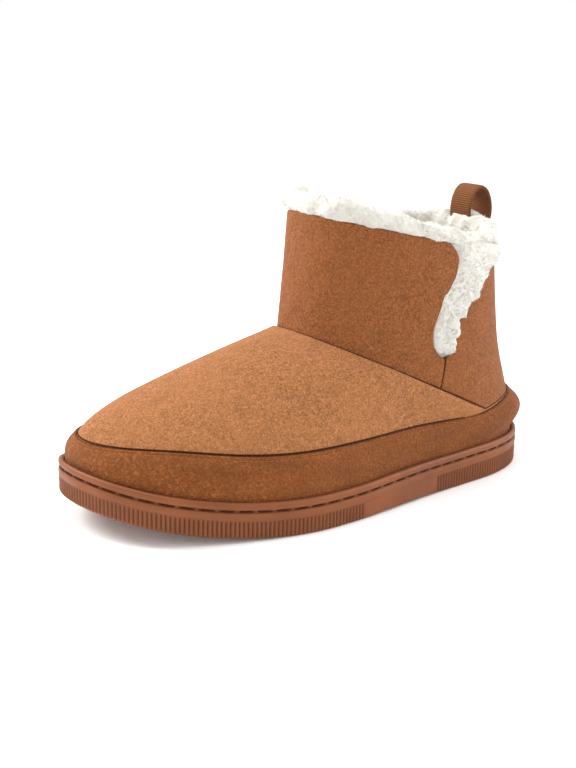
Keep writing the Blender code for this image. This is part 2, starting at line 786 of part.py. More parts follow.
def make_loop(collection, cutters, material):
    """Tape loop at the middle of the heel, its tail between the felt and the fleece."""
    loop = new_object("pull_loop", tape_form(loop_outline(0), TAPE_WIDTH), collection, material)
    hole = tape_form(loop_outline(TAPE_THICKNESS), 1.2 * TAPE_WIDTH)
    boolean(loop, "DIFFERENCE", new_object("loop_hole", hole, cutters))
    tail = new_object("loop_tail", tape_form(tail_outline(0, 0, 0), TAPE_WIDTH), cutters)
    boolean(loop, "UNION", tail)
    return loop


def main():
    clear_scene()
    parts = new_collection("bootie_slipper")
    cutters = new_collection("cutters")
    rubber = new_material("sole_rubber", (0.17, 0.06, 0.025), 0.5)
    felt = new_material("wool_felt", (0.42, 0.19, 0.08), 0.95)
    suede = new_material("suede", (0.24, 0.08, 0.03), 0.9)
    fleece = new_material("fleece", (0.8, 0.76, 0.68), 1.0)
    tape = new_material("loop_tape", (0.27, 0.1, 0.04), 0.8)
    make_outsole(parts, rubber)
    make_upper(parts, cutters, felt)
    make_band(parts, suede)
    make_insole(parts, fleece)
    make_fleece(parts, cutters, fleece)
    make_loop(parts, cutters, tape)


if __name__ == "__main__":
    main()
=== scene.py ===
"""Looks of a bootie slipper, left shoe: felt upper, suede band, fleece collar, moulded cup sole, tape loop.

Metres, +Z up. The toe points to -Y and the outer side of the foot is +X.
"""

import math

import bpy
import numpy as np
from mathutils import Matrix, Vector, noise


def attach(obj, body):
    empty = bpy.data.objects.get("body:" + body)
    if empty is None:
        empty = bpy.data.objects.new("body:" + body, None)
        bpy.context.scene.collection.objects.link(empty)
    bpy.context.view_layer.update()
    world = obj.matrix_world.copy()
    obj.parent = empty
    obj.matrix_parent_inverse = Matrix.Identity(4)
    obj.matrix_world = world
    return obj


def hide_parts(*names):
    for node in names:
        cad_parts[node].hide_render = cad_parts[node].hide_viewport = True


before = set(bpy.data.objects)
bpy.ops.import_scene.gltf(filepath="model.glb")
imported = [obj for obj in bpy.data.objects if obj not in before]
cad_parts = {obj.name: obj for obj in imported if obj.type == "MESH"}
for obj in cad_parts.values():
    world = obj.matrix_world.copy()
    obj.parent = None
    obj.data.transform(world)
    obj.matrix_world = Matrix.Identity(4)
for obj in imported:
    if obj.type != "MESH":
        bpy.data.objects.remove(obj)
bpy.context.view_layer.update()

bl_info = {
    "name": "Bootie Slipper",
    "version": (1, 0, 0),
    "blender": (4, 5, 0),
    "location": "3D View > Sidebar > Slipper",
    "description": "Felt, suede, fleece, moulded sole, tape and stitches of a bootie slipper",
    "category": "Object",
}

MM = 0.001

# Sole, as in the frame
SOLE_LENGTH = 270 * MM
BALL_WIDTH = 108 * MM
HEEL_WIDTH = 80 * MM
SOLE_SIDE = 17.7 * MM
HEEL_LIFT = 1.7 * MM
TOE_SPRING = 14 * MM
SPRING_LENGTH = 93 * MM
ARCH_RISE = 0.6 * MM
ARCH_START = 118 * MM
ARCH_LENGTH = 84 * MM
EDGE_ROUND = 2.0 * MM
PLAIN_START = 128 * MM
PLAIN_LENGTH = 52 * MM
SMOOTH_BAND = 3.8 * MM
WELT_GROOVE = 1.5 * MM
WELT_GROOVE_DEPTH = 0.9 * MM
LIP_HEIGHT = 3.4 * MM
LIP_WIDTH = 2.6 * MM
CUP_DEPTH = 3.0 * MM
GAP = 0.36 * MM

# Upper, as in the frame
UPPER_WALL = 2.0 * MM
VAMP_STEP = 1.4 * MM
VAMP_FADE = 8.0 * MM
INSTEP_REACH = 119 * MM
INSTEP_HEIGHT = 84.5 * MM
QUARTER_REACH = 214 * MM
QUARTER_HEIGHT = 40.7 * MM
SEAM_LENGTH = 138 * MM
SEAM_WIDTH = 88 * MM
SEAM_CLEAR = 1.5 * MM
HEEL_BULGE = 7.2 * MM
HEEL_HOLLOW = 5.0 * MM
COLLAR_REACH = 125 * MM
COLLAR_LENGTH = 116 * MM
COLLAR_WIDTH = 86 * MM
COLLAR_FRONT_HEIGHT = 143.5 * MM
COLLAR_BACK_HEIGHT = 117.5 * MM
SHAFT_OFFSET = -2.0 * MM
NOTCH_REACH = 185 * MM
NOTCH_WIDTH = 16 * MM
NOTCH_BOTTOM = 73 * MM
NOTCH_FLARE = 40 * MM
BAND_WALL = 2.0 * MM
BAND_HEIGHT = 27.5 * MM
PILE = 6.0 * MM
ROLL_RISE = 9.5 * MM
ROLL_WIDTH = 11.0 * MM
PILE_GAP = 0.5 * MM
INSOLE_THICKNESS = 6.0 * MM
TAPE_WIDTH = 16 * MM
TAPE_THICKNESS = 1.8 * MM
LOOP_TOP_RISE = 35 * MM
LOOP_DEPTH = 17 * MM
LOOP_OPENING = 26 * MM
LOOP_TAIL = 12 * MM
TURN_POWER = 1.5
OVAL_POWER = 0.86
TOE_Y = -SOLE_LENGTH / 2
FEATHER_INSET = LIP_WIDTH + GAP + BAND_WALL + GAP

# Walls of the dressed pieces
SKIN = 1.2 * MM
PANEL_SKIN = 1.5 * MM
FLEECE_SKIN = 0.8 * MM
BED_SKIN = 3.0 * MM

# Felt, suede and tape: share of the inner side seam, corner of the front panel, needle marks,
# part of the tape's thickness lost at its edge
INNER_SEAM = 1.38
CORNER_ROUND = 9.0 * MM
NEEDLE_PITCH = 2.6 * MM
TAPE_EDGE = 0.35

# Fleece: swell round the loop, lap behind the front panel as a share, how far the lining stands
# off the felt below and above, rounded edge of the footbed
LOOP_PUFF = 0.65
PILE_LAP = 0.045
LINING_FOOT = 1.6 * MM
LINING_TOP = 4.2 * MM
BED_EDGE = 2.4 * MM

# Pattern hair: its height before it is scaled, and how deep it is rooted
HAIR_PATTERN = 1.8
HAIR_ROOT = 0.4 * MM

# Steps in share and level over which a surface's slope is measured
SHARE_STEP = 0.004
LEVEL_STEP = 0.02

# Camera fitted to the photograph: degrees, metres, and pixels of focal length and height
CAMERA_AZIMUTH, CAMERA_ELEVATION, CAMERA_ROLL = 54.99, 14.69, 1.11
CAMERA_PLACE = (0.52672, -0.38689, 0.22624)
PHOTO_FOCAL, PHOTO_HEIGHT = 1318.38, 768
SENSOR = 36
# Name, place, diameter in metres, power in watts
LIGHTS = (
    ("key", (-0.95, -0.80, 1.00), 0.8, 21.0), ("top", (-0.20, -0.20, 1.60), 1.0, 9.0),
    ("right", (0.50, 1.20, 0.65), 0.8, 10.0),
)

# Station from the toe, middle line as a share of the ball's width, half width as a share of the
# width there
SOLE_OUTLINE = (
    (0.00, -0.106, 0.000), (0.03, -0.088, 0.241), (0.08, -0.069, 0.361), (0.15, -0.052, 0.440),
    (0.25, -0.021, 0.492), (0.35, 0.014, 0.500), (0.45, 0.034, 0.484), (0.55, 0.037, 0.477),
    (0.65, 0.020, 0.489), (0.75, -0.004, 0.507), (0.85, -0.025, 0.486), (0.92, -0.038, 0.410),
    (0.97, -0.046, 0.272), (1.00, -0.051, 0.000),
)
# Share from toe to heel, fullness, part of the height in the rounded side
FOOT_PROFILE = (
    (0.00, 3.30, 0.53), (0.15, 2.70, 0.48), (0.30, 2.70, 0.54), (0.45, 2.10, 0.75),
    (0.60, 1.55, 0.92), (0.75, 1.20, 1.00), (1.00, 1.10, 1.00),
)
# Share from toe to heel, part of the band's height: lower at toe and heel than the frame's band
BAND_RISE = (
    (0.00, 0.38), (0.20, 0.66), (0.40, 0.74), (0.58, 0.71), (0.74, 0.67), (0.86, 0.78), (1.00, 0.82),
)
# Share of the notch's height, front edge and rear edge in notch widths, rear edge's flare
NOTCH_EDGE = (
    (-0.30, -0.06, -0.06, 0.00), (-0.035, 0.00, 0.00, 0.00), (-0.02, -0.13, 0.11, 0.00),
    (0.01, -0.25, 0.13, 0.00), (0.09, -0.45, 0.15, 0.00), (0.23, -0.50, 0.09, 0.02),
    (0.37, -0.40, 0.06, 0.17), (0.53, -0.20, 0.10, 0.42), (0.71, 0.14, 0.18, 0.73),
    (0.81, 0.33, 0.30, 0.98), (0.885, 0.38, 0.40, 1.14), (1.195, 0.36, 0.40, 1.60),
)
# Roll of fleece: outward share of its width, share of its rise
ROLL_SECTION = (
    (-0.32, -0.50), (-0.12, -0.18), (0.05, 0.06), (0.12, 0.35), (0.04, 0.75), (-0.28, 1.00),
    (-0.66, 0.95), (-0.90, 0.60), (-0.92, -0.20),
)
# Share of the way round the collar, share of the roll's rise
ROLL_HEIGHT = (
    (0.00, 1.02), (0.05, 0.92), (0.09, 1.12), (0.14, 0.82), (0.20, 0.84), (0.25, 0.72),
    (0.30, 0.66), (0.35, 0.95), (0.40, 1.50), (0.46, 2.00), (0.50, 2.15), (0.55, 1.95),
    (0.60, 1.72), (0.65, 1.25), (0.69, 0.95), (0.75, 1.08), (0.85, 0.95), (0.94, 1.18), (1.00, 1.02),
)
# Soft dents: share, level, reach in share, reach in level, depth in millimetres
VAMP_FOLDS = (
    (0.04, 0.90, 0.10, 0.05, 0.8), (0.16, 0.84, 0.05, 0.10, 0.6), (1.90, 0.86, 0.06, 0.08, 0.7),
    (0.42, 0.72, 0.05, 0.12, 0.6), (0.55, 0.80, 0.03, 0.10, 0.6), (1.60, 0.70, 0.06, 0.10, 0.6),
    (0.24, 0.45, 0.12, 0.05, 0.4),
)
SHAFT_FOLDS = (
    (0.02, 0.10, 0.12, 0.07, 0.9), (0.30, 0.35, 0.05, 0.25, 0.7), (0.47, 0.62, 0.04, 0.22, 0.6),
    (0.60, 0.22, 0.04, 0.10, 0.8), (0.80, 0.25, 0.06, 0.08, 1.0), (1.00, 0.42, 0.10, 0.10, 0.9),
    (1.30, 0.30, 0.05, 0.22, 0.8), (1.62, 0.45, 0.05, 0.25, 0.7), (1.86, 0.22, 0.08, 0.10, 0.7),
)
BAND_FOLDS = (
    (0.12, 0.55, 0.03, 0.30, 0.5), (0.30, 0.60, 0.02, 0.40, 0.4), (0.52, 0.55, 0.03, 0.35, 0.4),
    (0.70, 0.50, 0.02, 0.40, 0.5), (0.90, 0.55, 0.03, 0.30, 0.5), (1.25, 0.50, 0.03, 0.35, 0.5),
    (1.60, 0.55, 0.04, 0.35, 0.4), (1.86, 0.55, 0.02, 0.30, 0.4),
)


def column(rows, index):
    return np.array([row[index] for row in rows])


def curve(stations, values, at, level_ends=True):
    """Smooth curve through table rows, level at both ends where it meets its mirror."""
    slopes = np.gradient(values, stations)
    if level_ends:
        slopes[[0, -1]] = 0
    at = np.clip(at, stations[0], stations[-1])
    i = np.clip(np.searchsorted(stations, at, side="right") - 1, 0, len(stations) - 2)
    width = stations[i + 1] - stations[i]
    t = (at - stations[i]) / width
    rise = values[i + 1] - values[i]
    start = slopes[i] * width
    end = slopes[i + 1] * width
    return (values[i] + start * t + (3 * rise - 2 * start - end) * t ** 2
            + (start + end - 2 * rise) * t ** 3)


def table_curve(rows, index, at, level_ends=True):
    return curve(column(rows, 0), column(rows, index), at, level_ends)


def ease(t):
    """0 below 0, 1 above 1, and a smooth step between."""
    t = np.clip(t, 0, 1)
    return t * t * (3 - 2 * t)


def way_along(path):
    """Distance of each point of a path from its start."""
    return np.concatenate([[0], np.cumsum(np.linalg.norm(np.diff(path, axis=0), axis=1))])


def row_distance(points):
    """Distance of each point from the start and from the end of its row."""
    steps = np.linalg.norm(np.diff(points, axis=1), axis=2)
    length = np.concatenate([np.zeros((len(points), 1)), np.cumsum(steps, axis=1)], axis=1)
    return length, length[:, -1:] - length


def sole_edge():
    """Dense plan outline: shares 0 to 1 run from toe to heel outside, 1 to 2 back inside."""
    turn = np.linspace(0, math.pi, 1601)
    station = (1 - np.cos(turn)) / 2
    rows = column(SOLE_OUTLINE, 0)
    width = BALL_WIDTH + (HEEL_WIDTH - BALL_WIDTH) * ease((station - 0.35) / 0.45)
    half = curve(np.arccos(1 - 2 * rows), column(SOLE_OUTLINE, 2), turn, level_ends=False) * width
    middle = table_curve(SOLE_OUTLINE, 1, station, level_ends=False) * BALL_WIDTH
    y = TOE_Y + station * SOLE_LENGTH
    shift = (np.max(middle + half) + np.min(middle - half)) / 2
    shares, points = [], []
    for side, order in ((1, slice(None)), (-1, slice(None, None, -1))):
        xy = np.column_stack([middle + side * half - shift, y])[order]
        length = way_along(xy)
        shares.append(((0 if side == 1 else 1) + length / length[-1])[:-1])
        points.append(xy[:-1])
    return np.concatenate(shares), np.concatenate(points)


EDGE_SHARES, EDGE_POINTS = sole_edge()
EDGE_SLOPE = np.roll(EDGE_POINTS, -1, axis=0) - np.roll(EDGE_POINTS, 1, axis=0)
EDGE_INWARD = np.column_stack([-EDGE_SLOPE[:, 1], EDGE_SLOPE[:, 0]])
EDGE_INWARD /= np.linalg.norm(EDGE_INWARD, axis=1)[:, None]
PERIMETER = way_along(EDGE_POINTS)[-1]


def around(share, values):
    return np.interp(np.mod(share, 2), EDGE_SHARES, values, period=2)


def outline(share, inset=0.0):
    x = around(share, EDGE_POINTS[:, 0]) + inset * around(share, EDGE_INWARD[:, 0])
    y = around(share, EDGE_POINTS[:, 1]) + inset * around(share, EDGE_INWARD[:, 1])
    return np.stack([x, y], axis=-1)


def ground(y):
    spring = np.clip(1 - (y - TOE_Y) / SPRING_LENGTH, 0, 1) ** 2
    arch = np.clip((y - TOE_Y - ARCH_START) / ARCH_LENGTH, 0, 1)
    return TOE_SPRING * spring + ARCH_RISE * np.sin(math.pi * arch) ** 2


def sole_top(y):
    heel = ease(((y - TOE_Y) / SOLE_LENGTH - 0.4) / 0.5)
    return ground(y) + SOLE_SIDE + HEEL_LIFT * heel


def upper_foot(y):
    return sole_top(y) - CUP_DEPTH + GAP


def toe_to_heel(share):
    share = np.mod(share, 2)
    return np.where(share <= 1, share, 2 - share), np.where(share <= 1, 1.0, -1.0)


def band_top(share):
    way, _ = toe_to_heel(share)
    return sole_top(outline(share)[..., 1]) + table_curve(BAND_RISE, 1, way) * BAND_HEIGHT


def oval(share, front, length, width):
    way, side = toe_to_heel(share)
    turn = math.pi * way ** TURN_POWER
    y = TOE_Y + front + length / 2 * (1 - np.cos(turn))
    return SHAFT_OFFSET + side * width / 2 * np.sin(turn) ** OVAL_POWER, y


def seam_line(share):
    """Where the vamp ends at the shaft: high over the instep, down to the band behind."""
    x, y = oval(share, INSTEP_REACH, SEAM_LENGTH, SEAM_WIDTH)
    back = (y - TOE_Y - INSTEP_REACH) / (QUARTER_REACH - INSTEP_REACH)
    z = INSTEP_HEIGHT + (QUARTER_HEIGHT - INSTEP_HEIGHT) * back
    clear = SEAM_CLEAR * (1 - 0.8 * rearness(share))
    return np.stack([x, y, np.maximum(z, band_top(share) + clear)], axis=-1)


def collar_height(reach):
    back = (reach - COLLAR_REACH) / COLLAR_LENGTH
    return COLLAR_FRONT_HEIGHT + (COLLAR_BACK_HEIGHT - COLLAR_FRONT_HEIGHT) * back


def collar_line(share):
    x, y = oval(share, COLLAR_REACH, COLLAR_LENGTH, COLLAR_WIDTH)
    return np.stack([x, y, collar_height(y - TOE_Y)], axis=-1)


def rearness(share):
    way, _ = toe_to_heel(share)
    return ease((way - 0.72) / 0.28)


def foot_curves(share):
    """Side profiles of the foot part from sole to seam, and the length along each."""
    way, _ = toe_to_heel(share)
    fullness = table_curve(FOOT_PROFILE, 1, way)[:, None]
    side_part = table_curve(FOOT_PROFILE, 2, way)[:, None]
    edge = outline(share, FEATHER_INSET)
    foot = upper_foot(edge[:, 1])
    top = seam_line(share)
    turn = np.linspace(0, math.pi / 2, 73)[None, :]
    across = 1 - np.clip(np.cos(turn), 0, 1) ** (2 / fullness)
    up = np.clip(np.sin(turn), 0, 1) ** (2 / fullness)
    z = foot[:, None] + (top[:, 2] - foot)[:, None] * ((1 - side_part) * across + side_part * up)
    lip = (foot + CUP_DEPTH + GAP)[:, None]
    over_lip = np.clip((z - lip) / (top[:, 2][:, None] - lip), 0, 1)
    swell = (HEEL_BULGE * rearness(share))[:, None] * np.sin(math.pi * over_lip) ** 2
    outward = edge - outline(share, FEATHER_INSET + MM)
    plan = edge[:, None] + (top[:, :2] - edge)[:, None] * across[..., None]
    plan = plan + swell[..., None] * (outward / MM)[:, None]
    rows = np.concatenate([plan, z[..., None]], axis=-1)
    return rows, row_distance(rows)[0]


def level_at(share, height):
    """Level on the foot part that lies at a height above the floor."""
    rows, length = foot_curves(share)
    return np.array([np.interp(h, row[:, 2], way / way[-1])
                     for h, row, way in zip(height, rows, length)])


def foot_skin(share, level):
    """Foot part of the upper for a table of levels, one column for each share."""
    rows, length = foot_curves(share)
    points = np.empty(level.shape + (3,))
    for i in range(len(share)):
        goal = np.clip(level[:, i], 0, 1) * length[i, -1]
        for k in range(3):
            points[:, i, k] = np.interp(goal, length[i], rows[i, :, k])
    return points


def shaft_skin(share, rise):
    """Shaft from the vamp seam, rise 0, to the collar, rise 1."""
    low = seam_line(share)
    points = low + (collar_line(share) - low) * rise[..., None]
    points[..., 1] -= HEEL_HOLLOW * rearness(share) * np.sin(math.pi * np.clip(rise, 0, 1))
    return points


def offset_from(skin, share, level, offset):
    """Points of a surface moved outward along its own slope, kept level near the cup."""
    point = skin(share, level)
    across = skin(share + SHARE_STEP, level) - skin(share - SHARE_STEP, level)
    above, below = np.minimum(level + LEVEL_STEP, 1), np.maximum(level - LEVEL_STEP, 0)
    normal = np.cross(across, skin(share, above) - skin(share, below))
    foot = upper_foot(point[..., 1])
    free = ease((point[..., 2] - foot) / (2 * CUP_DEPTH))
    normal[..., 2] *= free
    normal /= np.linalg.norm(normal, axis=-1)[..., None]
    point = point + normal * np.broadcast_to(offset, level.shape)[..., None]
    point[..., 2] += (1 - free) * (upper_foot(point[..., 1]) - foot)
    return point


def shaft_row(share, rise, offset):
    """One row of points off the shaft."""
    return offset_from(shaft_skin, share, np.full(len(share), rise), offset)


def foot_row(share, level, offset):
    """One row of points off the foot part."""
    return offset_from(foot_skin, share, level[None], offset)[0]


def dents(folds, share, level):
    """Depth of the soft folds pressed into a surface."""
    depth = np.zeros(np.broadcast(share, level).shape)
    for at, up, wide, high, deep in folds:
        way = (share - at + 1) % 2 - 1
        depth += deep * MM * np.exp(-(way / wide) ** 2 - ((level - up) / high) ** 2)
    return depth


def rounded_edge(distance, radius):
    """How far a soft edge falls back at a distance from its end."""
    near = np.clip(radius - distance, 0, radius)
    return radius - np.sqrt(np.maximum(radius ** 2 - near ** 2, 0))


def rough(points, size, seed=0.0):
    """Smooth uneven values between about -1 and 1 over a table of points."""
    flat = points.reshape(-1, 3) / size + seed
    values = [noise.noise(Vector(p)) for p in flat]
    return np.array(values).reshape(points.shape[:-1]) * 1.6


def arithmetic(operation, reflected=False):
    """An operator of Wire: it adds the Math node of its operation."""
    def method(self, other):
        values = (other, self) if reflected else (self, other)
        return self.finish.math(operation, *values)
    return method


class Wire:
    """A shader value: arithmetic on it adds the Math nodes."""
    __add__ = arithmetic("ADD")
    __radd__ = arithmetic("ADD", reflected=True)
    __sub__ = arithmetic("SUBTRACT")
    __rsub__ = arithmetic("SUBTRACT", reflected=True)
    __mul__ = arithmetic("MULTIPLY")
    __rmul__ = arithmetic("MULTIPLY", reflected=True)
    __truediv__ = arithmetic("DIVIDE")

    def __init__(self, finish, socket):
        self.finish = finish
        self.socket = socket

    def math(self, operation):
        return self.finish.math(operation, self)

    def between(self, low, high):
        """0 below low, 1 above high."""
        return self.finish.math("ADD", (self - low) / (high - low), 0.0, clamp=True)


class Finish:
    """A Principled material under construction."""

    def __init__(self, name, roughness=0.9, **fixed):
        self.material = bpy.data.materials.new(name)
        self.material.use_nodes = True
        self.nodes = self.material.node_tree.nodes
        self.links = self.material.node_tree.links
        self.shader = self.nodes["Principled BSDF"]
        self.shader.inputs["Roughness"].default_value = roughness
        for label, value in fixed.items():
            self.shader.inputs[label.replace("_", " ")].default_value = value
        self.coordinates = self.nodes.new("ShaderNodeTexCoord")

    def feed(self, socket, value):
        if isinstance(value, Wire):
            self.links.new(value.socket, socket)
        elif isinstance(value, bpy.types.NodeSocket):
            self.links.new(value, socket)
        else:
            socket.default_value = value

    def node(self, kind, settings=None, **inputs):
        """Adds a node: its settings first, then the values or links of its sockets."""
        node = self.nodes.new(kind)
        for label, value in (settings or {}).items():
            setattr(node, label, value)
        for label, value in inputs.items():
            self.feed(node.inputs[label.replace("_", " ")], value)
        return node

    def math(self, operation, *values, clamp=False):
        node = self.node("ShaderNodeMath", {"operation": operation, "use_clamp": clamp})
        for socket, value in zip(node.inputs, values):
            self.feed(socket, value)
        return Wire(self, node.outputs[0])

    def clouds(self, scale, detail=2.0, stretch=(1, 1, 1), distortion=0.0):
        """Noise on Object coordinates, with stretch as the factors of its fineness along X, Y and Z."""
        place = self.node("ShaderNodeMapping", Vector=self.coordinates.outputs["Object"], Scale=stretch)
        node = self.node("ShaderNodeTexNoise", Vector=place.outputs["Vector"], Scale=scale,
                         Detail=detail, Distortion=distortion)
        return Wire(self, node.outputs["Fac"])

    def axis(self, label, source="Object"):
        node = self.node("ShaderNodeSeparateXYZ", Vector=self.coordinates.outputs[source])
        return Wire(self, node.outputs[label])

    def blend(self, factor, first, second):
        """Colour between two colours: the Mix node's colour sockets have no names of their own."""
        node = self.node("ShaderNodeMix", {"data_type": "RGBA"})
        for slot, value in ((0, factor), (6, first), (7, second)):
            self.feed(node.inputs[slot], value)
        return node.outputs[2]

    def finish(self, color, height=None, distance=0.3 * MM, strength=1.0, roughness=None):
        self.feed(self.shader.inputs["Base Color"], color)
        if roughness is not None:
            self.feed(self.shader.inputs["Roughness"], roughness)
        if height is not None:
            bump = self.node("ShaderNodeBump", Strength=strength, Distance=distance, Height=height)
            self.links.new(bump.outputs["Normal"], self.shader.inputs["Normal"])
        return self.material


def shade(color, factor):
    """A colour property lightened or darkened."""
    return tuple(min(1.0, c * factor) for c in color) + (1.0,)


def felt_finish(name, color):
    """Brushed felt: a melange of light and dark fibres, matted in small swirls."""
    felt = Finish(name, 0.95, Specular_IOR_Level=0.2, Sheen_Weight=0.04, Sheen_Roughness=0.5)
    fibres = felt.clouds(1150, 3, distortion=0.3)
    wisps = felt.clouds(600, 3, (1.0, 0.55, 1.0), distortion=0.6)
    matting = felt.clouds(170, 3, distortion=0.6)
    wear = felt.clouds(22, 2)
    mixed = (fibres * 0.62 + wisps * 0.26 + matting * 0.12).between(0.39, 0.61)
    ground_color = felt.blend(mixed, shade(color, 0.62), shade(color, 1.34))
    light = felt.blend(wear.between(0.40, 0.70) * 0.35, ground_color, shade(color, 1.16))
    pale_hairs = fibres.between(0.60, 0.68) * 0.4
    return felt.finish(felt.blend(pale_hairs, light, shade(color, 1.8)),
                       fibres * 0.7 + wisps * 0.8 + matting * 0.8, 0.7 * MM, 0.85)


def suede_finish(name, color):
    """Napped suede: fine grain, brushed patches, lighter pebbled specks, needle marks."""
    suede = Finish(name, 0.9, Specular_IOR_Level=0.2, Sheen_Weight=0.05, Sheen_Roughness=0.4)
    grain = suede.clouds(1000, 3, distortion=0.5)
    pebble = suede.clouds(680, 2, (1.0, 1.0, 1.3), distortion=0.9)
    brushed = suede.clouds(60, 3, (1.0, 0.6, 1.6))
    along = suede.axis("X", "UV")
    down = suede.axis("Y", "UV")
    off_row = (down - NEEDLE_PITCH).math("ABSOLUTE").between(0.10 * MM, 0.40 * MM)
    off_hole = ((along / NEEDLE_PITCH).math("FRACT") - 0.5).math("ABSOLUTE").between(0.28, 0.42)
    mark = (1 - off_row) * (1 - off_hole)
    ground_color = suede.blend((grain * 0.35 + pebble * 0.4 + brushed * 0.25).between(0.40, 0.60),
                               shade(color, 0.70), shade(color, 1.18))
    toe = 1 - suede.axis("Y").between(-0.12, -0.02)
    speck = pebble.between(0.54, 0.68) * brushed.between(0.36, 0.58) * (toe * 0.5 + 0.2)
    golden = (color[0] * 1.75, color[1] * 2.1, color[2] * 2.6)
    light = suede.blend(speck, ground_color, shade(golden, 1.0))
    height = grain * 0.5 + pebble * 1.6 + brushed * 0.4 + mark * 0.5
    return suede.finish(suede.blend(mark * 0.45, light, shade(color, 2.1)), height, 0.6 * MM, 0.85)


def rubber_finish(name, color):
    """Moulded rubber: faint clouding, a fine matte grain, scuffed high places and painted shade in the rib
    valleys.
    """
    rubber = Finish(name, 0.5, Specular_IOR_Level=0.3)
    clouding = rubber.clouds(35, 3)
    grain = rubber.clouds(900, 2)
    height = rubber.axis("Z")
    low = 1 - height.between(0.0, 9 * MM)
    scuff = rubber.clouds(260, 4, (1.0, 0.35, 1.0)).between(0.56, 0.72) * low
    x, y = rubber.axis("X"), rubber.axis("Y")
    wave = ((y * 1300 + (x * 260).math("SINE") * 2.4).math("SINE") * 0.5 + 0.5).between(0.25, 0.75)
    facing = rubber.node("ShaderNodeSeparateXYZ",
                         Vector=rubber.node("ShaderNodeNewGeometry").outputs["Normal"])
    under = (0 - Wire(rubber, facing.outputs["Z"])).between(0.86, 0.94)
    # Painted shade: the valleys between the ribs, found from the UV, are darkened towards a much darker
    # rubber.
    phase = rubber.axis("X", "UV") * (2 * math.pi)
    trough = (phase.math("COSINE") * 0.5 + 0.5) * rubber.axis("Y", "UV")
    shaded = rubber.blend(clouding.between(0.35, 0.65), shade(color, 0.88), shade(color, 1.12))
    ground_color = rubber.blend(trough * 0.6, shaded, shade(color, 0.45))
    tread = rubber.blend(wave * under * 0.35, ground_color, shade(color, 0.6))
    return rubber.finish(rubber.blend(scuff * 0.35, tread, shade(color, 1.5)),
                         grain * 0.15 + wave * under * 2.0, 0.5 * MM, 0.6,
                         rubber.clouds(120, 2).between(0.3, 0.7) * 0.16 + 0.44)


def fleece_finish(name, color, depth=0.8):
    """Deep pile: pale locks, with painted shade, warmer and darker, in the partings between them; depth
    sets how strong that painted shade is.
    """
    fleece = Finish(name, 1.0, Sheen_Weight=0.3, Sheen_Roughness=0.6)
    locks = fleece.clouds(150, 3, distortion=1.2)
    curls = fleece.clouds(480, 3, distortion=1.8)
    hairs = fleece.clouds(1500, 2, (1.0, 1.0, 0.4), distortion=1.0)
    # Painted shade: the partings between the locks are darkened and warmed, as if shaded deep in the pile.
    deep = 1 - (locks * 0.65 + curls * 0.35).between(0.32, 0.52)
    warm_painted_shade = (color[0] * 0.93, color[1] * 0.84, color[2] * 0.68)
    ground_color = fleece.blend(deep * (depth * 0.7), shade(color, 1.0), shade(warm_painted_shade, 0.86))
    return fleece.finish(fleece.blend(hairs.between(0.45, 0.65) * 0.3, ground_color, shade(color, 1.06)),
                         locks + curls * 0.8 + hairs * 0.3, 0.9 * MM, 0.6)


def tape_finish(name, color):
    """Ribbed webbing: cords across the tape, fine warp between them, from the tape's own UV."""
    tape = Finish(name, 0.85, Specular_IOR_Level=0.25)
    across = tape.axis("X", "UV")
    along = tape.axis("Y", "UV")
    warp = (along * (2 * math.pi / (1.1 * MM))).math("SINE") * 0.5 + 0.5
    weft = (across * (2 * math.pi / (0.9 * MM))).math("SINE") * 0.5 + 0.5
    fuzz = tape.clouds(1400, 2)
    woven = warp * 0.65 + weft * 0.35
    mixed = (woven * 0.7 + fuzz * 0.3).between(0.2, 0.8)
    ground_color = tape.blend(mixed, shade(color, 0.55), shade(color, 1.35))
    return tape.finish(ground_color, woven + fuzz * 0.3, 0.4 * MM, 0.8)


def thread_and_seam_shade_finish(name, color):
    """Twisted waxed thread; the same finish colours the cords of painted shade along the seams."""
    thread = Finish(name, 0.9, Specular_IOR_Level=0.1)
    x, y, z = (thread.axis(label) for label in "XYZ")
    twist = (x * 2600 + y * 2600 + z * 4200).math("SINE") * 0.5 + 0.5
    ground_color = thread.blend(twist, shade(color, 0.6), shade(color, 1.25))
    return thread.finish(ground_color, twist, 0.15 * MM, 0.8)


def floor_finish(name, color):
    """Pale matte studio floor with a trace of unevenness."""
    floor = Finish(name, 0.9, Specular_IOR_Level=0.2, Emission_Color=(1, 1, 1, 1), Emission_Strength=0.06)
    return floor.finish(floor.blend(floor.clouds(3, 2), shade(color, 0.995), shade(color, 1.0)),
                        floor.clouds(300, 2), 0.05 * MM, 0.2)


def deselect():
    if bpy.context.object and bpy.context.object.mode != "OBJECT":
        bpy.ops.object.mode_set(mode="OBJECT")
    bpy.ops.object.select_all(action="DESELECT")


def lay_sheet(name, points, closed=False, uv=None):
    """A grid primitive laid on a table of points, rows by columns, and welded where it closes."""
    rows, columns = points.shape[:2]
    deselect()
    bpy.ops.mesh.primitive_grid_add(x_subdivisions=columns - 1, y_subdivisions=rows - 1, size=0.1)
    sheet = bpy.context.object
    sheet.name = sheet.data.name = name
    sheet.data.vertices.foreach_set("co", np.ascontiguousarray(points, dtype=np.float32).reshape(-1))
    if uv is not None:
        index = np.empty(len(sheet.data.loops), dtype=np.int32)
        sheet.data.loops.foreach_get("vertex_index", index)
        flat = np.stack(np.broadcast_arrays(*uv), axis=-1).reshape(-1, 2)[index]
        sheet.data.uv_layers[0].data.foreach_set("uv", flat.astype(np.float32).reshape(-1))
    sheet.data.update()
    if closed:
        bpy.ops.object.mode_set(mode="EDIT")
        bpy.ops.mesh.select_all(action="SELECT")
        bpy.ops.mesh.remove_doubles(threshold=0.00001)
        bpy.ops.object.mode_set(mode="OBJECT")
    bpy.ops.object.shade_smooth()
    return sheet


def fill_open_edges():
    """In edit mode, closes each open edge of the mesh with a face."""
    bpy.ops.mesh.select_all(action="DESELECT")
    bpy.ops.mesh.select_mode(type="EDGE")
    bpy.ops.mesh.select_non_manifold()
    bpy.ops.mesh.edge_face_add()


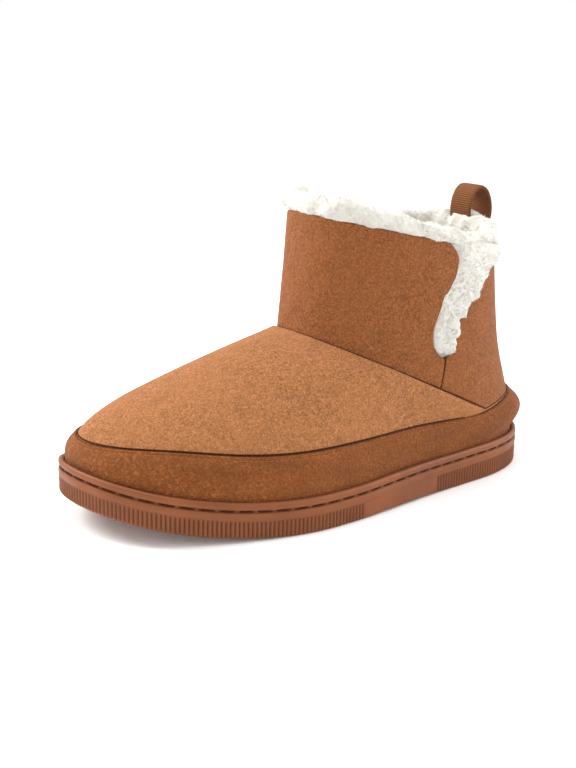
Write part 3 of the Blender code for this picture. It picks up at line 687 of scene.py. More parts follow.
def apply_modifier(piece, kind, **settings):
    deselect()
    piece.select_set(True)
    bpy.context.view_layer.objects.active = piece
    modifier = piece.modifiers.new(kind.title(), kind)
    for label, value in settings.items():
        setattr(modifier, label, value)
    bpy.ops.object.modifier_apply(modifier=modifier.name)


def hand_over(piece, material, node=None):
    """Gives a finished piece its material and body, and hides the CAD part of the node that it stands for.
    """
    piece.data.materials.clear()
    piece.data.materials.append(material)
    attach(piece, "root")
    if node:
        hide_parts(node)


def copies(name, pattern, places):
    """One mesh of many copies of a small pattern piece, each turned and set by its own matrix."""
    mesh = pattern.data
    corner = np.empty(len(mesh.vertices) * 3)
    mesh.vertices.foreach_get("co", corner)
    corner = np.column_stack([corner.reshape(-1, 3), np.ones(len(mesh.vertices))])
    faces = [tuple(face.vertices) for face in mesh.polygons]
    moved = np.einsum("nij,vj->nvi", np.array(places), corner)[..., :3].reshape(-1, 3)
    count = len(mesh.vertices)
    all_faces = [tuple(v + k * count for v in face) for k in range(len(places)) for face in faces]
    whole = bpy.data.meshes.new(name)
    whole.from_pydata(moved.tolist(), [], all_faces)
    whole.shade_smooth()
    piece = bpy.data.objects.new(name, whole)
    bpy.context.scene.collection.objects.link(piece)
    bpy.data.objects.remove(pattern, do_unlink=True)
    return piece


def notch_edges(z):
    """Front and rear edge of the notch at heights above the floor."""
    up = (z - NOTCH_BOTTOM) / (collar_height(NOTCH_REACH) - NOTCH_BOTTOM)
    front, rear, flare = (table_curve(NOTCH_EDGE, k, up, level_ends=False) for k in (1, 2, 3))
    middle = TOE_Y + NOTCH_REACH + 1.5 * MM * np.clip(up * 4 + 0.2, -1, 0)
    front = middle + front * NOTCH_WIDTH
    rear = middle + rear * NOTCH_WIDTH + flare * NOTCH_FLARE
    seam = (front + rear) / 2
    return np.minimum(front, seam), np.maximum(rear, seam)


def notch_share(rise, side):
    """Share at which each row of the shaft meets the front (0) or rear (1) edge of the notch."""
    shares = np.linspace(0.35, 0.99, 500)
    points = shaft_skin(*np.broadcast_arrays(shares[None], rise[:, None]))
    past = points[..., 1] - notch_edges(points[..., 2])[side]
    first = np.clip(np.argmax(past >= 0, axis=1), 1, None)
    row = np.arange(len(rise))
    low, high = past[row, first - 1], past[row, first]
    part = low / (low - high)
    return shares[first - 1] + part * (shares[first] - shares[first - 1])


def way_round(share):
    way, side = toe_to_heel(share)
    turn = way ** TURN_POWER
    return np.where(side > 0, turn, 2 - turn) / 2


def roll_rise(share):
    return table_curve(ROLL_HEIGHT, 1, way_round(share)) * ROLL_RISE


def lumps(share, row):
    turn = 2 * math.pi * way_round(share)
    return 0.8 * MM * (np.sin(13 * turn + 0.8 * row) + 0.6 * np.sin(22 * turn - 0.9 * row + 1)
                       + 0.4 * np.sin(31 * turn + 0.7 * row + 2)) / 1.4


def pile_on(points, closed, fine):
    """Moves the points of a fleece surface in and out in locks and curls."""
    across = np.gradient(points, axis=1)
    across[:, 0] = across[:, -1] = points[:, 1] - points[:, -2] if closed else across[:, 0]
    normal = np.cross(across, np.gradient(points, axis=0))
    normal /= np.maximum(np.linalg.norm(normal, axis=-1), 1e-9)[..., None]
    swing = rough(points, 12 * MM, 3.0) * 0.8 + rough(points, 5 * MM, 7.0) * 0.45
    curl = np.abs(rough(points, 2.6 * MM, 11.0)) * 0.45 - 0.15
    return points + normal * ((swing + curl) * fine * MM)[..., None]


def size_setting(name, description, default, low, high):
    return bpy.props.FloatProperty(name=name, description=description, default=default * MM,
                                   min=low * MM, max=high * MM, unit="LENGTH")


def colour_setting(name, description, default):
    return bpy.props.FloatVectorProperty(name=name, description=description, default=default,
                                         min=0, max=1, subtype="COLOR")


class SlipperSizes(bpy.types.PropertyGroup):
    """Sizes that a user would change: default, smallest and largest in millimetres."""
    felt_edge: size_setting("Felt edge", "Radius of the felt's rolled edges", 1.3, 0.3, 2)
    rib_pitch: size_setting("Rib pitch", "Spacing of the ribs on the side of the sole", 2.1, 1.5, 5)
    rib_depth: size_setting("Rib depth", "Depth of the troughs between ribs", 0.75, 0, 1)
    stitch_pitch: size_setting("Stitch pitch", "Spacing of the welt stitches", 9.2, 4, 15)
    thread: size_setting("Thread", "Thickness of the welt thread", 0.7, 0.3, 2)
    # The dark crease is a cord of painted shade laid along each seam.
    crease: size_setting("Crease", "Width of the dark crease along each seam", 0.7, 0.2, 2)
    hair_length: size_setting("Hair length", "Length of the loose fleece hairs", 1.9, 1, 8)
    hair_count: bpy.props.IntProperty(
        name="Hairs", description="Number of loose hairs on the fleece", default=11000, min=0, max=16000)


class SlipperColours(bpy.types.PropertyGroup):
    """Colours of the materials, before their finishes lighten and darken them."""
    vamp: colour_setting("Vamp felt", "Colour of the felt over the foot", (0.325, 0.131, 0.047))
    shaft: colour_setting("Shaft felt", "Colour of the felt round the ankle", (0.230, 0.078, 0.024))
    suede: colour_setting("Suede", "Colour of the suede band", (0.205, 0.062, 0.014))
    rubber: colour_setting("Rubber", "Colour of the sole", (0.205, 0.059, 0.016))
    fleece: colour_setting("Fleece", "Colour of the fleece", (0.64, 0.62, 0.565))
    tape: colour_setting("Tape", "Colour of the pull loop", (0.190, 0.066, 0.020))
    # The thread colour also colours the cords of painted shade along the seams.
    thread: colour_setting("Thread", "Colour of the stitches", (0.060, 0.018, 0.008))
    floor: colour_setting("Floor", "Colour of the studio floor", (0.96, 0.96, 0.96))


def chosen(context):
    """The user's sizes and colours."""
    return context.scene.slipper_sizes, context.scene.slipper_colours


class SLIPPER_OT_sole(bpy.types.Operator):
    """Cup sole: ribbed side, convex band, stitch groove and rounded lip"""
    bl_idname = "slipper.sole"
    bl_label = "Cup sole"

    def execute(self, context):
        sizes, colours = chosen(context)
        ribs = round(PERIMETER / sizes.rib_pitch)
        share = np.linspace(0, 2, 4 * ribs + 1)
        reach = outline(share)[:, 1] - TOE_Y
        plain = ease((np.abs(reach - PLAIN_START - PLAIN_LENGTH / 2) - PLAIN_LENGTH / 2) / (2 * MM))
        wave = np.array([1.0, 0.3, 0.0, 0.3])[np.arange(len(share)) % 4]
        trough = sizes.rib_depth * wave * plain
        groove_top = -LIP_HEIGHT
        groove_low = groove_top - WELT_GROOVE
        rib_top = groove_low - SMOOTH_BAND
        tall = sole_top(outline(share)[:, 1]) - ground(outline(share)[:, 1]) + rib_top
        rows, strength = [], []

        def ring(inset, up, from_top, ribbed=0.0):
            plan = outline(share, inset + trough * ribbed)
            base = sole_top(plan[:, 1]) if from_top else ground(plan[:, 1])
            rows.append(np.column_stack([plan, base + up]))
            strength.append(ribbed * plain)

        for turn in np.linspace(0, math.pi / 2, 6):
            fall = EDGE_ROUND * (1 - math.sin(turn))
            ring(fall, EDGE_ROUND * (1 - math.cos(turn)), False, math.sin(turn))
        for part, ribbed in ((0.35, 1.0), (0.6, 1.0), (0.85, 1.0), (0.95, 0.8), (0.99, 0.1)):
            ring(0.0, EDGE_ROUND + (tall - EDGE_ROUND) * part, False, ribbed)
        for inset, part in ((0.1, 0.0), (-0.05, 0.15), (-0.25, 0.5), (-0.18, 0.8), (0.1, 1.0)):
            ring(inset * MM, rib_top + part * SMOOTH_BAND, True)
        ring(0.45 * MM, groove_low + 0.04 * MM, True)
        for turn in np.linspace(0.15, 0.85, 6) * math.pi:
            deep = 0.3 * MM + (WELT_GROOVE_DEPTH - 0.3 * MM) * math.sin(turn)
            ring(deep, groove_low + WELT_GROOVE * (1 - math.cos(turn)) / 2, True)
        ring(0.25 * MM, groove_top, True)
        ring(0.0, groove_top + 0.15 * MM, True)
        for turn in np.linspace(0.05, 1.0, 11) * math.pi / 2:
            ring((1.3 - 1.5 * math.cos(turn)) * MM, -LIP_HEIGHT * 0.62 * (1 - math.sin(turn)), True)
        ring(LIP_WIDTH - 0.6 * MM, -0.02 * LIP_HEIGHT, True)
        ring(LIP_WIDTH, -0.15 * LIP_HEIGHT, True)
        ring(LIP_WIDTH, -CUP_DEPTH, True)
        # The UV holds each rib's phase and strength, from which the rubber paints shade into the rib
        # valleys.
        sole = lay_sheet("cup_sole", np.array(rows), closed=True,
                         uv=(np.arange(len(share))[None] / 4, np.array(strength)))
        self.close_ends(sole)
        hand_over(sole, rubber_finish("moulded_rubber", colours.rubber), "outsole")
        return {"FINISHED"}

    @staticmethod
    def close_ends(sole):
        """Closes the underside and the floor of the cup, each from its own open edge."""
        bpy.ops.object.mode_set(mode="EDIT")
        fill_open_edges()
        bpy.ops.mesh.select_all(action="DESELECT")
        bpy.ops.mesh.select_face_by_sides(number=8, type="GREATER")
        bpy.ops.mesh.quads_convert_to_tris()
        bpy.ops.object.mode_set(mode="OBJECT")
        deselect()
        sole.select_set(True)
        bpy.context.view_layer.objects.active = sole
        bpy.ops.object.shade_smooth_by_angle(angle=math.radians(50))


class SLIPPER_OT_stitches(bpy.types.Operator):
    """Long welt stitches laid in the groove above the ribs"""
    bl_idname = "slipper.stitches"
    bl_label = "Welt stitches"

    def execute(self, context):
        sizes, colours = chosen(context)
        deselect()
        bpy.ops.mesh.primitive_uv_sphere_add(segments=8, ring_count=8, radius=0.5)
        stitch = context.object
        coordinates = np.empty(len(stitch.data.vertices) * 3)
        stitch.data.vertices.foreach_get("co", coordinates)
        shape = coordinates.reshape(-1, 3) * 2
        shape = np.sign(shape) * np.abs(shape) ** np.array([1, 1, 0.6]) / 2
        shape = shape * np.array([sizes.thread, sizes.thread, 0.88 * sizes.stitch_pitch])
        shape[:, 0] -= 0.25 * sizes.thread * (2 * shape[:, 2] / sizes.stitch_pitch) ** 2
        stitch.data.vertices.foreach_set("co", shape.reshape(-1))
        count = round(PERIMETER / sizes.stitch_pitch)
        inset = WELT_GROOVE_DEPTH - 0.45 * sizes.thread
        places = []
        for share in np.arange(count) * 2 / count:
            ends = outline(share + SHARE_STEP * np.array([-1, 0, 1]), inset)
            heights = sole_top(ends[:, 1]) - LIP_HEIGHT - 0.5 * WELT_GROOVE
            along = Vector((*(ends[2] - ends[0]), heights[2] - heights[0])).normalized()
            out = Vector((*(outline(share) - outline(share, MM)), 0)).normalized()
            up = along.cross(out)
            turn = Matrix((out, -up, along)).transposed().to_4x4()
            places.append(np.array(Matrix.Translation((*ends[1], heights[1])) @ turn))
        piece = copies("welt_stitches", stitch, places)
        hand_over(piece, thread_and_seam_shade_finish("waxed_thread", colours.thread))
        return {"FINISHED"}


class SLIPPER_OT_vamp(bpy.types.Operator):
    """Felt over the foot, its rolled upper edge standing proud of the shaft"""
    bl_idname = "slipper.vamp"
    bl_label = "Vamp"

    def execute(self, context):
        _, colours = chosen(context)
        share = np.linspace(0, 2, 481)
        band = level_at(share, band_top(share))
        _, length = foot_curves(share)
        above = (seam_line(share)[:, 2] - band_top(share)) / VAMP_FADE
        lift = (VAMP_STEP + 0.3 * MM) * ease(above)
        edge = np.minimum(1.3 * lift / length[:, -1], 0.5 * (1 - band))
        rows, offsets = [], []
        for part in np.linspace(0, 1, 64):
            level = 0.7 * band + (1 - edge - 0.7 * band) * part
            rows.append(level)
            offsets.append(lift * ease((part - 0.35) / 0.5))
        for turn in np.linspace(0.12, 1.15, 9) * math.pi / 2:
            rows.append(1 - edge * (1 - min(1.0, math.sin(min(turn, math.pi / 2)))))
            offsets.append(lift * math.cos(turn) - 0.2 * MM * math.sin(turn))
        level, offset = np.array(rows), np.array(offsets)
        depth = dents(VAMP_FOLDS, share[None], level) * ease((level - band) / 0.15)
        points = offset_from(foot_skin, share, level, offset - depth)
        points += (rough(points, 26 * MM) * 0.25 * MM)[..., None] * np.array([0.4, 0.2, 0.9])
        points[:, -1] = points[:, 0]
        vamp = lay_sheet("felt_vamp", points, closed=True)
        apply_modifier(vamp, "SOLIDIFY", thickness=SKIN, offset=-1)
        hand_over(vamp, felt_finish("vamp_felt", colours.vamp), "upper")
        return {"FINISHED"}


class SLIPPER_OT_shaft(bpy.types.Operator):
    """Front and back felt panels of the shaft, either side of the notch and the side seams"""
    bl_idname = "slipper.shaft"
    bl_label = "Shaft panels"

    def execute(self, context):
        sizes, colours = chosen(context)
        radius = sizes.felt_edge
        ends = np.array([0, 0.0015, 0.004, 0.008, 0.013, 0.02])
        part = np.concatenate([ends, np.linspace(0.03, 0.97, 170), 1 - ends[::-1]])
        rise = np.concatenate([np.linspace(0, 0.96, 80), [0.97, 0.978, 0.985, 0.991, 0.996, 1.0]])
        felt = felt_finish("shaft_felt", colours.shaft)
        spans = (("felt_front_panel", np.full(len(rise), INNER_SEAM - 2), notch_share(rise, 0)),
                 ("felt_back_panel", notch_share(rise, 1), np.full(len(rise), INNER_SEAM)))
        for name, start, end in spans:
            share = start[:, None] + (end - start)[:, None] * part[None]
            level = np.broadcast_to(rise[:, None], share.shape)
            base = shaft_skin(share, level)
            from_start, from_end = row_distance(base)
            if name == "felt_front_panel":
                corner = rounded_edge(from_end, CORNER_ROUND) / np.linalg.norm(base[-1] - base[0], axis=1)
                level = level * (1 - corner * ease((level - 0.3) / 0.3))
                base = shaft_skin(share, level)
            from_top = np.linalg.norm(base - base[-1:], axis=2)
            fall = sum(rounded_edge(d, radius) for d in (from_start, from_end, from_top))
            fade = ease(level / 0.05)
            offset = -np.minimum(fall, 1.5 * radius) - dents(SHAFT_FOLDS, share, level) * fade
            points = offset_from(shaft_skin, share, level, offset)
            uneven = rough(points, 30 * MM, 5.0) * 0.3 * MM * fade
            points += uneven[..., None] * np.array([0.9, 0.5, 0.1])
            panel = lay_sheet(name, points)
            apply_modifier(panel, "SOLIDIFY", thickness=PANEL_SKIN, offset=-1)
            hand_over(panel, felt, "upper")
        return {"FINISHED"}


class SLIPPER_OT_band(bpy.types.Operator):
    """Suede band from the lip of the sole to its stitched, rounded top edge"""
    bl_idname = "slipper.band"
    bl_label = "Suede band"

    def execute(self, context):
        sizes, colours = chosen(context)
        share = np.linspace(0, 2, 521)
        top = level_at(share, band_top(share))
        _, length = foot_curves(share)
        tall = top * length[:, -1]
        radius = sizes.felt_edge
        rows = [part * (tall - radius) for part in np.linspace(0, 1, 34)]
        offsets = [np.full(len(share), GAP + BAND_WALL)] * 34
        for turn in np.linspace(0.15, 1.0, 7) * math.pi / 2:
            rows.append(tall - radius * (1 - math.sin(turn)))
            offsets.append(np.full(len(share), GAP + BAND_WALL - radius * (1 - math.cos(turn))))
        rows.append(tall)
        offsets.append(np.full(len(share), 0.1 * MM))
        along_row, offset = np.array(rows), np.array(offsets)
        level = along_row / length[:, -1][None]
        up = along_row / tall
        row_height = tall[None] - along_row
        lip = CUP_DEPTH + GAP
        puff = 0.35 * MM * np.sin(math.pi * np.clip((along_row - lip) / (tall - lip), 0, 1)) ** 0.8
        sewn = 0.35 * MM * np.exp(-((row_height - 2.4 * MM) / (0.8 * MM)) ** 2)
        fade = ease((along_row - lip) / (4 * MM)) * ease(row_height / (4 * MM))
        depth = dents(BAND_FOLDS, share[None], up) * fade
        skived = 1.1 * MM * (1 - ease(row_height / (9 * MM))) * (1 - rearness(share))[None]
        shape = np.maximum(offset + (puff - sewn - depth - skived) * (up < 0.999), 0.1 * MM)
        points = offset_from(foot_skin, share, level, shape)
        points[:, -1] = points[:, 0]
        along = way_along(points[20])
        band = lay_sheet("suede_foxing", points, closed=True, uv=(along[None], row_height))
        apply_modifier(band, "SOLIDIFY", thickness=SKIN, offset=-1)
        hand_over(band, suede_finish("brushed_suede", colours.suede), "suede_band")
        return {"FINISHED"}


class SLIPPER_OT_seam_shade(bpy.types.Operator):
    """Dark cords of painted shade in the creases where the panels are sewn: vamp to shaft, side seams, band
    to upper
    """
    bl_idname = "slipper.seams"
    bl_label = "Seam shade"

    def execute(self, context):
        sizes, colours = chosen(context)
        share = np.linspace(0, 2, 401)
        free = (seam_line(share)[:, 2] - band_top(share)) / VAMP_FADE
        high = shaft_row(share, 0.006, -0.15 * MM + 0.5 * MM * ease(free))
        low = foot_row(share, level_at(share, band_top(share)) + 0.006, 0.15 * MM)
        rise = np.linspace(0, 0.22, 24)
        outer = shaft_row(notch_share(rise, 0), rise, -0.7 * MM)
        inner = shaft_row(np.full(60, INNER_SEAM), np.linspace(0, 1, 60), -0.75 * MM)
        # The cords are painted shade: dark thread-coloured lines standing in for the shade in the seam
        # creases.
        painted_seam_shade_material = thread_and_seam_shade_finish("painted_seam_shade", colours.thread)
        for name, path, slot, node in (
                ("vamp_seam_shade", high, "wool_felt", "upper"), ("band_seam_shade", low, "suede", "suede_band"),
                ("outer_side_seam_shade", outer, "wool_felt", "upper"),
                ("inner_side_seam_shade", inner, "wool_felt", "upper")):
            piece = self.cord(name, path, sizes.crease / 2)
            hand_over(piece, painted_seam_shade_material, node)
        return {"FINISHED"}

    @staticmethod
    def cord(name, path, radius):
        """A thin round cord laid along a path of points."""
        slope = np.gradient(path, axis=0)
        slope /= np.linalg.norm(slope, axis=1)[:, None]
        side = np.cross(slope, np.array([0.31, 0.17, 0.93]))
        side /= np.linalg.norm(side, axis=1)[:, None]
        third = np.cross(slope, side)
        turn = np.linspace(0, 2 * math.pi, 8)
        ring = side[:, None] * np.cos(turn)[None, :, None] + third[:, None] * np.sin(turn)[None, :, None]
        points = path[:, None] + radius * ring
        points[:, -1] = points[:, 0]
        return lay_sheet(name, points, closed=True)


class SLIPPER_OT_fleece(bpy.types.Operator):
    """Fleece roll on the collar, the lining below it, the pile in the notch and loose hairs"""
    bl_idname = "slipper.fleece"
    bl_label = "Fleece"

    def execute(self, context):
        sizes, colours = chosen(context)
        fleece = fleece_finish("deep_fleece", colours.fleece)
        skins = []
        for name, points, closed, fine in (("fleece_roll", self.roll(), True, 1.0),
                                           ("fleece_notch", self.filler(), False, 1.0),
                                           ("fleece_lining", self.lining(), True, 0.7)):
            points = pile_on(points, closed, fine)
            if closed:
                points[:, -1] = points[:, 0]
            skins.append(points)
            piece = lay_sheet(name, points, closed=closed)
            apply_modifier(piece, "SOLIDIFY", thickness=FLEECE_SKIN, offset=-1)
            hand_over(piece, fleece, "fleece_collar")
        fibres = self.hairs(skins, sizes)
        # The loose hairs get a weaker painted shade in their partings.
        hand_over(fibres, fleece_finish("loose_hairs", colours.fleece, 0.3), "fleece_collar")
        return {"FINISHED"}

    @staticmethod
    def roll():
        """From the felt's top edge over the roll and down the inside of the shaft."""
        turn = np.linspace(0, 1, 221)
        way = turn ** (1 / TURN_POWER)
        share = np.concatenate([way, 2 - way[-2::-1]])
        top = shaft_skin(share, np.ones(len(share)))
        outward = shaft_row(share, 1.0, MM) - top
        outward[:, 2] = 0
        outward /= np.linalg.norm(outward, axis=1)[:, None]
        section = np.array(ROLL_SECTION)
        station = way_along(section * [ROLL_WIDTH, ROLL_RISE])
        at = np.linspace(0, station[-1], 30)
        rows = []
        for k, s in enumerate(at):
            out, up = (curve(station, section[:, i], s, level_ends=False) for i in (0, 1))
            row = 7 * k / len(at)
            free = ease((up - 0.1) / 0.4)
            puffed = 1 + LOOP_PUFF * np.exp(-((way_round(share) - 0.5) / 0.06) ** 2) * (out < 0)
            reach = out * ROLL_WIDTH * puffed + lumps(share, row) * (0.3 + 0.7 * free)
            points = top + outward * reach[:, None]
            points[:, 2] += PILE_GAP + up * roll_rise(share) + lumps(share, row + 3) * free
            rows.append(points)
        inside = UPPER_WALL + PILE_GAP + PILE
        for rise in np.linspace(0.93, 0.12, 34):
            rows.append(shaft_row(share, rise, -inside + 0.5 * lumps(share, 8 * rise)))
        return np.array(rows)

    @staticmethod
    def filler():
        """Pile that swells out of the notch between the edges of the two panels."""
        rise = np.linspace(0.15, 1.0, 110)
        front, rear = notch_share(rise, 0), notch_share(rise, 1)
        open_rows = rear - front > 0.012
        rise, front, rear = (values[open_rows] for values in (rise, front, rear))
        rise = np.concatenate([rise, [1.02, 1.04, 1.06]])
        front, rear = (np.concatenate([edge, np.full(3, edge[-1])]) for edge in (front, rear))
        ragged = 0.015 + 0.004 * np.sin(rise * 47) + 0.003 * np.sin(rise * 91 + 1)
        front = front - PILE_LAP
        rear = rear + ragged * ease((rise - rise[0]) / 0.15) + 0.03 * ease((rise - 0.9) / 0.1)
        part = np.linspace(0, 1, 56)
        share = front[:, None] + (rear - front)[:, None] * part[None]
        level = np.broadcast_to(rise[:, None], share.shape)
        hidden = (PILE_LAP / (rear - front))[:, None]
        seen = (part[None] - hidden) / (1 - hidden)
        swell = np.interp(seen, [-0.5, 0, 0.06, 0.3, 0.6, 0.85, 0.96, 1.0],
                          [-4.5, -2.6, -0.6, 0.8, 1.4, 1.7, 1.3, -0.6])
        mouth = ease((rise - rise[0]) / 0.08)[:, None]
        deep = (swell * mouth - 2.4 * (1 - mouth) + 1.2 * ease((rise - 0.8) / 0.2)[:, None]) * MM
        points = offset_from(shaft_skin, share, np.minimum(level, 1), deep)
        points[..., 2] += np.maximum(level - 1, 0) * 60 * MM
        return points

    @staticmethod
    def lining():
        """Shorter pile on the inside of the foot, from the footbed up to the shaft."""
        share = np.linspace(0, 2, 301)
        foot = upper_foot(outline(share, FEATHER_INSET)[:, 1]) + 0.8 * INSOLE_THICKNESS
        start = level_at(share, foot)
        rows = [shaft_row(share, rise, -UPPER_WALL - LINING_TOP) for rise in (0.22, 0.15, 0.08)]
        for part in np.linspace(1, 0, 40):
            offset = -UPPER_WALL - LINING_FOOT - (LINING_TOP - LINING_FOOT) * part
            rows.append(foot_row(share, start + (1 - start) * part, offset))
        return np.array(rows)

    @staticmethod
    def hairs(skins, sizes):
        """Loose hairs, thick at the root, leaning the way their lock leans.

        The skins are the roll, whose top and outer rows alone have hairs, the notch and the lining.
        """
        rng = np.random.default_rng(11)
        deselect()
        bpy.ops.mesh.primitive_cone_add(vertices=3, radius1=1, radius2=0.55, depth=1,
                                        end_fill_type="NOTHING", location=(0, 0, 0.5))
        cone = bpy.context.object
        bpy.ops.object.transform_apply(location=True)
        bpy.ops.object.mode_set(mode="EDIT")
        bpy.ops.mesh.select_all(action="DESELECT")
        bpy.ops.object.mode_set(mode="OBJECT")
        for vertex in cone.data.vertices:
            vertex.select = vertex.co.z > 0.9
        bpy.ops.object.mode_set(mode="EDIT")
        bpy.ops.mesh.extrude_region_move(TRANSFORM_OT_translate={"value": (0.45, 0, HAIR_PATTERN - 1)})
        bpy.ops.mesh.merge(type="CENTER")
        bpy.ops.object.mode_set(mode="OBJECT")
        places = []
        for skin, weight, last_row in zip(skins, (0.66, 0.20, 0.14), (42, None, None)):
            area = skin[:last_row]
            count = int(sizes.hair_count * weight)
            row = rng.uniform(0, len(area) - 1.001, count)
            if last_row:
                row = rng.beta(1.1, 1.9, count) * (len(area) - 1.001)
            column = rng.uniform(0, area.shape[1] - 1.001, count)
            i, j = row.astype(int), column.astype(int)
            a, b = (row - i)[:, None], (column - j)[:, None]
            spot = (area[i, j] * (1 - a) * (1 - b) + area[i + 1, j] * a * (1 - b)
                    + area[i, j + 1] * (1 - a) * b + area[i + 1, j + 1] * a * b)
            normal = np.cross(area[i, j + 1] - area[i, j], area[i + 1, j] - area[i, j])
            normal /= np.maximum(np.linalg.norm(normal, axis=1), 1e-9)[:, None]
            lean = np.stack([rough(spot, 7 * MM, seed) for seed in (21.0, 31.0, 41.0)], axis=-1)
            point = normal + 0.9 * lean + rng.normal(0, 0.22, (count, 3))
            point /= np.linalg.norm(point, axis=1)[:, None]
            tall = sizes.hair_length * rng.uniform(0.45, 1.0, count)
            side = np.cross(point, rng.normal(size=(count, 3)))
            side /= np.linalg.norm(side, axis=1)[:, None]
            wide = rng.uniform(0.16, 0.30, count) * MM
            matrix = np.zeros((count, 4, 4))
            matrix[:, :3, 0] = side * wide[:, None]
            matrix[:, :3, 1] = np.cross(point, side) * wide[:, None]
            matrix[:, :3, 2] = point * (tall / HAIR_PATTERN)[:, None]
            matrix[:, :3, 3] = spot - normal * HAIR_ROOT
            matrix[:, 3, 3] = 1
            places.append(matrix)
        return copies("fleece_hairs", cone, np.concatenate(places))


class SLIPPER_OT_footbed(bpy.types.Operator):
    """Footbed with a short pile, its edge rounded where it meets the lining"""
    bl_idname = "slipper.footbed"
    bl_label = "Footbed"

    def execute(self, context):
        _, colours = chosen(context)
        way = np.linspace(0.004, 0.996, 200)
        inset = FEATHER_INSET + UPPER_WALL + GAP + 0.3 * MM
        outer, inner = outline(way, inset), outline(2 - way, inset)
        rows = []
        for part in np.concatenate([[0, 0.01, 0.03], np.linspace(0.06, 0.94, 60), [0.97, 0.99, 1]]):
            plan = inner + (outer - inner) * part
            near = min(part, 1 - part) * np.linalg.norm(outer - inner, axis=1)
            fall = rounded_edge(near, BED_EDGE)
            rows.append(np.column_stack([plan, upper_foot(plan[:, 1]) + INSOLE_THICKNESS - fall]))
        points = np.array(rows).transpose(1, 0, 2)
        points[..., 2] += (rough(points, 8 * MM, 2.0) * 0.35 + rough(points, 2.5 * MM, 4.0) * 0.25) * MM
        bed = lay_sheet("footbed_pile", points)
        apply_modifier(bed, "SOLIDIFY", thickness=BED_SKIN, offset=-1)
        # The footbed's pile gets a weaker painted shade in its partings.
        hand_over(bed, fleece_finish("footbed_fleece", colours.fleece, 0.6), "insole")
        return {"FINISHED"}


class SLIPPER_OT_loop(bpy.types.Operator):
    """Pull loop: ribbed tape folded into a loop, its tail sewn inside the heel"""
    bl_idname = "slipper.loop"
    bl_label = "Pull loop"

    def execute(self, context):
        _, colours = chosen(context)
        edge_turn = math.asin((TAPE_WIDTH / COLLAR_WIDTH) ** (1 / OVAL_POWER))
        bow = COLLAR_LENGTH / 2 * (1 - math.cos(edge_turn))
        inside = -UPPER_WALL - PILE_GAP - bow - TAPE_THICKNESS / 2
        low, rim = shaft_row(np.array([1.0, 1.0]), [0.84, 1.0], inside)
        lean = (rim[1] - low[1]) / (rim[2] - low[2])
        half = TAPE_THICKNESS / 2
        middle = COLLAR_BACK_HEIGHT + LOOP_TOP_RISE - LOOP_OPENING / 2
        neck_z = middle - LOOP_OPENING / 2 + half
        neck_y = rim[1] + lean * (neck_z - rim[2])
        turn = np.linspace(0, 2 * math.pi, 121) - math.pi / 2
        y = neck_y + (LOOP_DEPTH / 2 - half) * np.cos(turn)
        z = middle + (LOOP_OPENING / 2 - half) * np.sin(turn)
        self.tape("pull_tape", np.column_stack([y, z]), True, colours, "pull_loop")
        tail_z = np.linspace(COLLAR_BACK_HEIGHT - LOOP_TAIL, neck_z, 24)
        tail = np.column_stack([rim[1] + lean * (tail_z - rim[2]), tail_z])
        self.tape("pull_tape_tail", tail, False, colours, None)
        return {"FINISHED"}

    @staticmethod
    def tape(name, path, closed, colours, node):
        """A flat tape with rounded edges, swept along a path in the plane of the heel."""
        if closed:
            slope = np.roll(path[:-1], -1, axis=0) - np.roll(path[:-1], 1, axis=0)
            slope = np.concatenate([slope, slope[:1]])
        else:
            slope = np.gradient(path, axis=0)
        slope /= np.linalg.norm(slope, axis=1)[:, None]
        outward = np.column_stack([slope[:, 1], -slope[:, 0]])
        half, wide = TAPE_THICKNESS / 2, TAPE_WIDTH / 2
        section = []
        for sign, order in ((1, 1), (-1, -1)):
            for x in np.linspace(-1, 1, 15)[::order]:
                fall = TAPE_EDGE * abs(x) ** 8
                section.append((x * (wide - fall * MM), sign * half * (1 - fall)))
            section.append((order * wide, 0.0))
        section = np.array(section + section[:1])
        way = way_along(path)
        wobble = 0.25 * MM * np.sin(way / (5 * MM))
        points = np.empty((len(path), len(section), 3))
        points[..., 0] = SHAFT_OFFSET + section[None, :, 0] + wobble[:, None]
        points[..., 1] = path[:, 0, None] + outward[:, 0, None] * section[None, :, 1]
        points[..., 2] = path[:, 1, None] + outward[:, 1, None] * section[None, :, 1]
        if closed:
            points[-1] = points[0]
        piece = lay_sheet(name, points, closed=True, uv=(section[None, :, 0], way[:, None]))
        bpy.ops.object.mode_set(mode="EDIT")
        if not closed:
            fill_open_edges()
        bpy.ops.mesh.select_all(action="SELECT")
        bpy.ops.mesh.normals_make_consistent(inside=False)
        bpy.ops.object.mode_set(mode="OBJECT")
        hand_over(piece, tape_finish(name + "_weave", colours.tape), node)


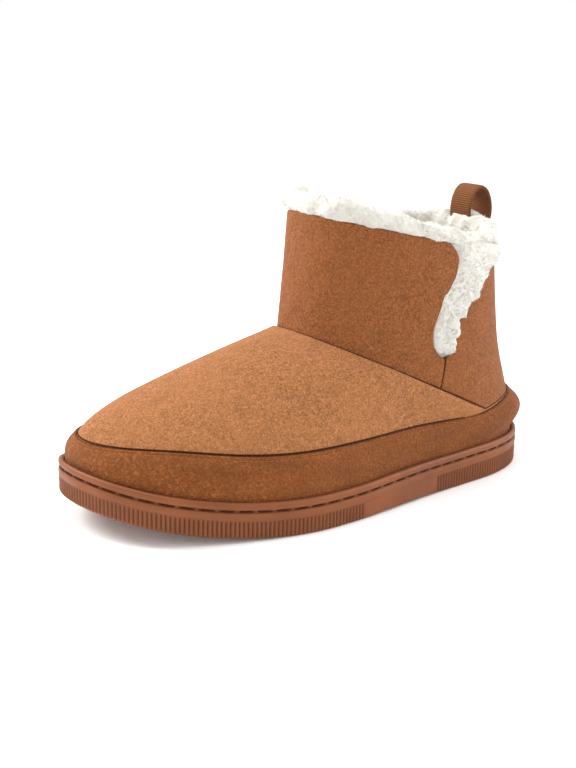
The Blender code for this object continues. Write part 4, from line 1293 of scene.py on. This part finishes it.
class SLIPPER_OT_stage(bpy.types.Operator):
    """Pale floor, soft studio lights and the camera at the photograph's angle"""
    bl_idname = "slipper.stage"
    bl_label = "Studio"

    def execute(self, context):
        _, colours = chosen(context)
        deselect()
        bpy.ops.mesh.primitive_plane_add(size=40, location=(0, 0, 0))
        floor = context.object
        floor.name = "studio_floor"
        floor.data.materials.append(floor_finish("pale_floor", colours.floor))
        world = bpy.data.worlds.new("studio")
        world.use_nodes = True
        background = world.node_tree.nodes["Background"].inputs
        background["Color"].default_value = (1.0, 1.0, 1.0, 1)
        background["Strength"].default_value = 1.0
        context.scene.world = world
        context.scene.view_settings.view_transform = "Standard"
        self.camera(context)
        aim = Vector((0, 0, 0.06))
        for name, place, size, power in LIGHTS:
            light = bpy.data.lights.new(name, "AREA")
            light.shape = "DISK"
            light.size = size
            light.energy = power
            lamp = bpy.data.objects.new(name, light)
            lamp.location = place
            lamp.rotation_euler = (aim - Vector(place)).to_track_quat("-Z", "Y").to_euler()
            context.scene.collection.objects.link(lamp)
        return {"FINISHED"}

    @staticmethod
    def camera(context):
        azimuth, elevation, roll = map(math.radians, (CAMERA_AZIMUTH, CAMERA_ELEVATION, CAMERA_ROLL))
        back = Vector((math.sin(azimuth) * math.cos(elevation), -math.cos(azimuth) * math.cos(elevation),
                       math.sin(elevation)))
        right = Vector((math.cos(azimuth), math.sin(azimuth), 0))
        up = back.cross(right)
        turned_right = right * math.cos(roll) + up * math.sin(roll)
        turned_up = up * math.cos(roll) - right * math.sin(roll)
        turn = Matrix((turned_right, turned_up, back)).transposed().to_4x4()
        lens = bpy.data.cameras.new("photo_view")
        lens.sensor_width = SENSOR
        lens.lens = SENSOR * PHOTO_FOCAL / PHOTO_HEIGHT
        lens.clip_start = 0.01
        eye = bpy.data.objects.new("photo_view", lens)
        eye.matrix_world = Matrix.Translation(CAMERA_PLACE) @ turn
        context.scene.collection.objects.link(eye)
        context.scene.camera = eye


STEPS = (SLIPPER_OT_stage, SLIPPER_OT_sole, SLIPPER_OT_stitches, SLIPPER_OT_vamp, SLIPPER_OT_shaft,
         SLIPPER_OT_band, SLIPPER_OT_seam_shade, SLIPPER_OT_fleece, SLIPPER_OT_footbed, SLIPPER_OT_loop)


class SLIPPER_PT_panel(bpy.types.Panel):
    """Sizes, colours and steps of the slipper"""
    bl_idname = "SLIPPER_PT_panel"
    bl_label = "Bootie Slipper"
    bl_space_type = "VIEW_3D"
    bl_region_type = "UI"
    bl_category = "Slipper"

    def draw(self, context):
        for group in (context.scene.slipper_sizes, context.scene.slipper_colours):
            for label in group.__annotations__:
                self.layout.prop(group, label)
        for step in STEPS:
            self.layout.operator(step.bl_idname)


CLASSES = (SlipperSizes, SlipperColours) + STEPS + (SLIPPER_PT_panel,)


def register():
    for item in CLASSES:
        bpy.utils.register_class(item)
    bpy.types.Scene.slipper_sizes = bpy.props.PointerProperty(type=SlipperSizes)
    bpy.types.Scene.slipper_colours = bpy.props.PointerProperty(type=SlipperColours)


def unregister():
    del bpy.types.Scene.slipper_colours
    del bpy.types.Scene.slipper_sizes
    for item in reversed(CLASSES):
        bpy.utils.unregister_class(item)


def main():
    register()
    for step in STEPS:
        getattr(bpy.ops.slipper, step.bl_idname.split(".")[1])()
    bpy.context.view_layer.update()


if __name__ == "__main__":
    main()
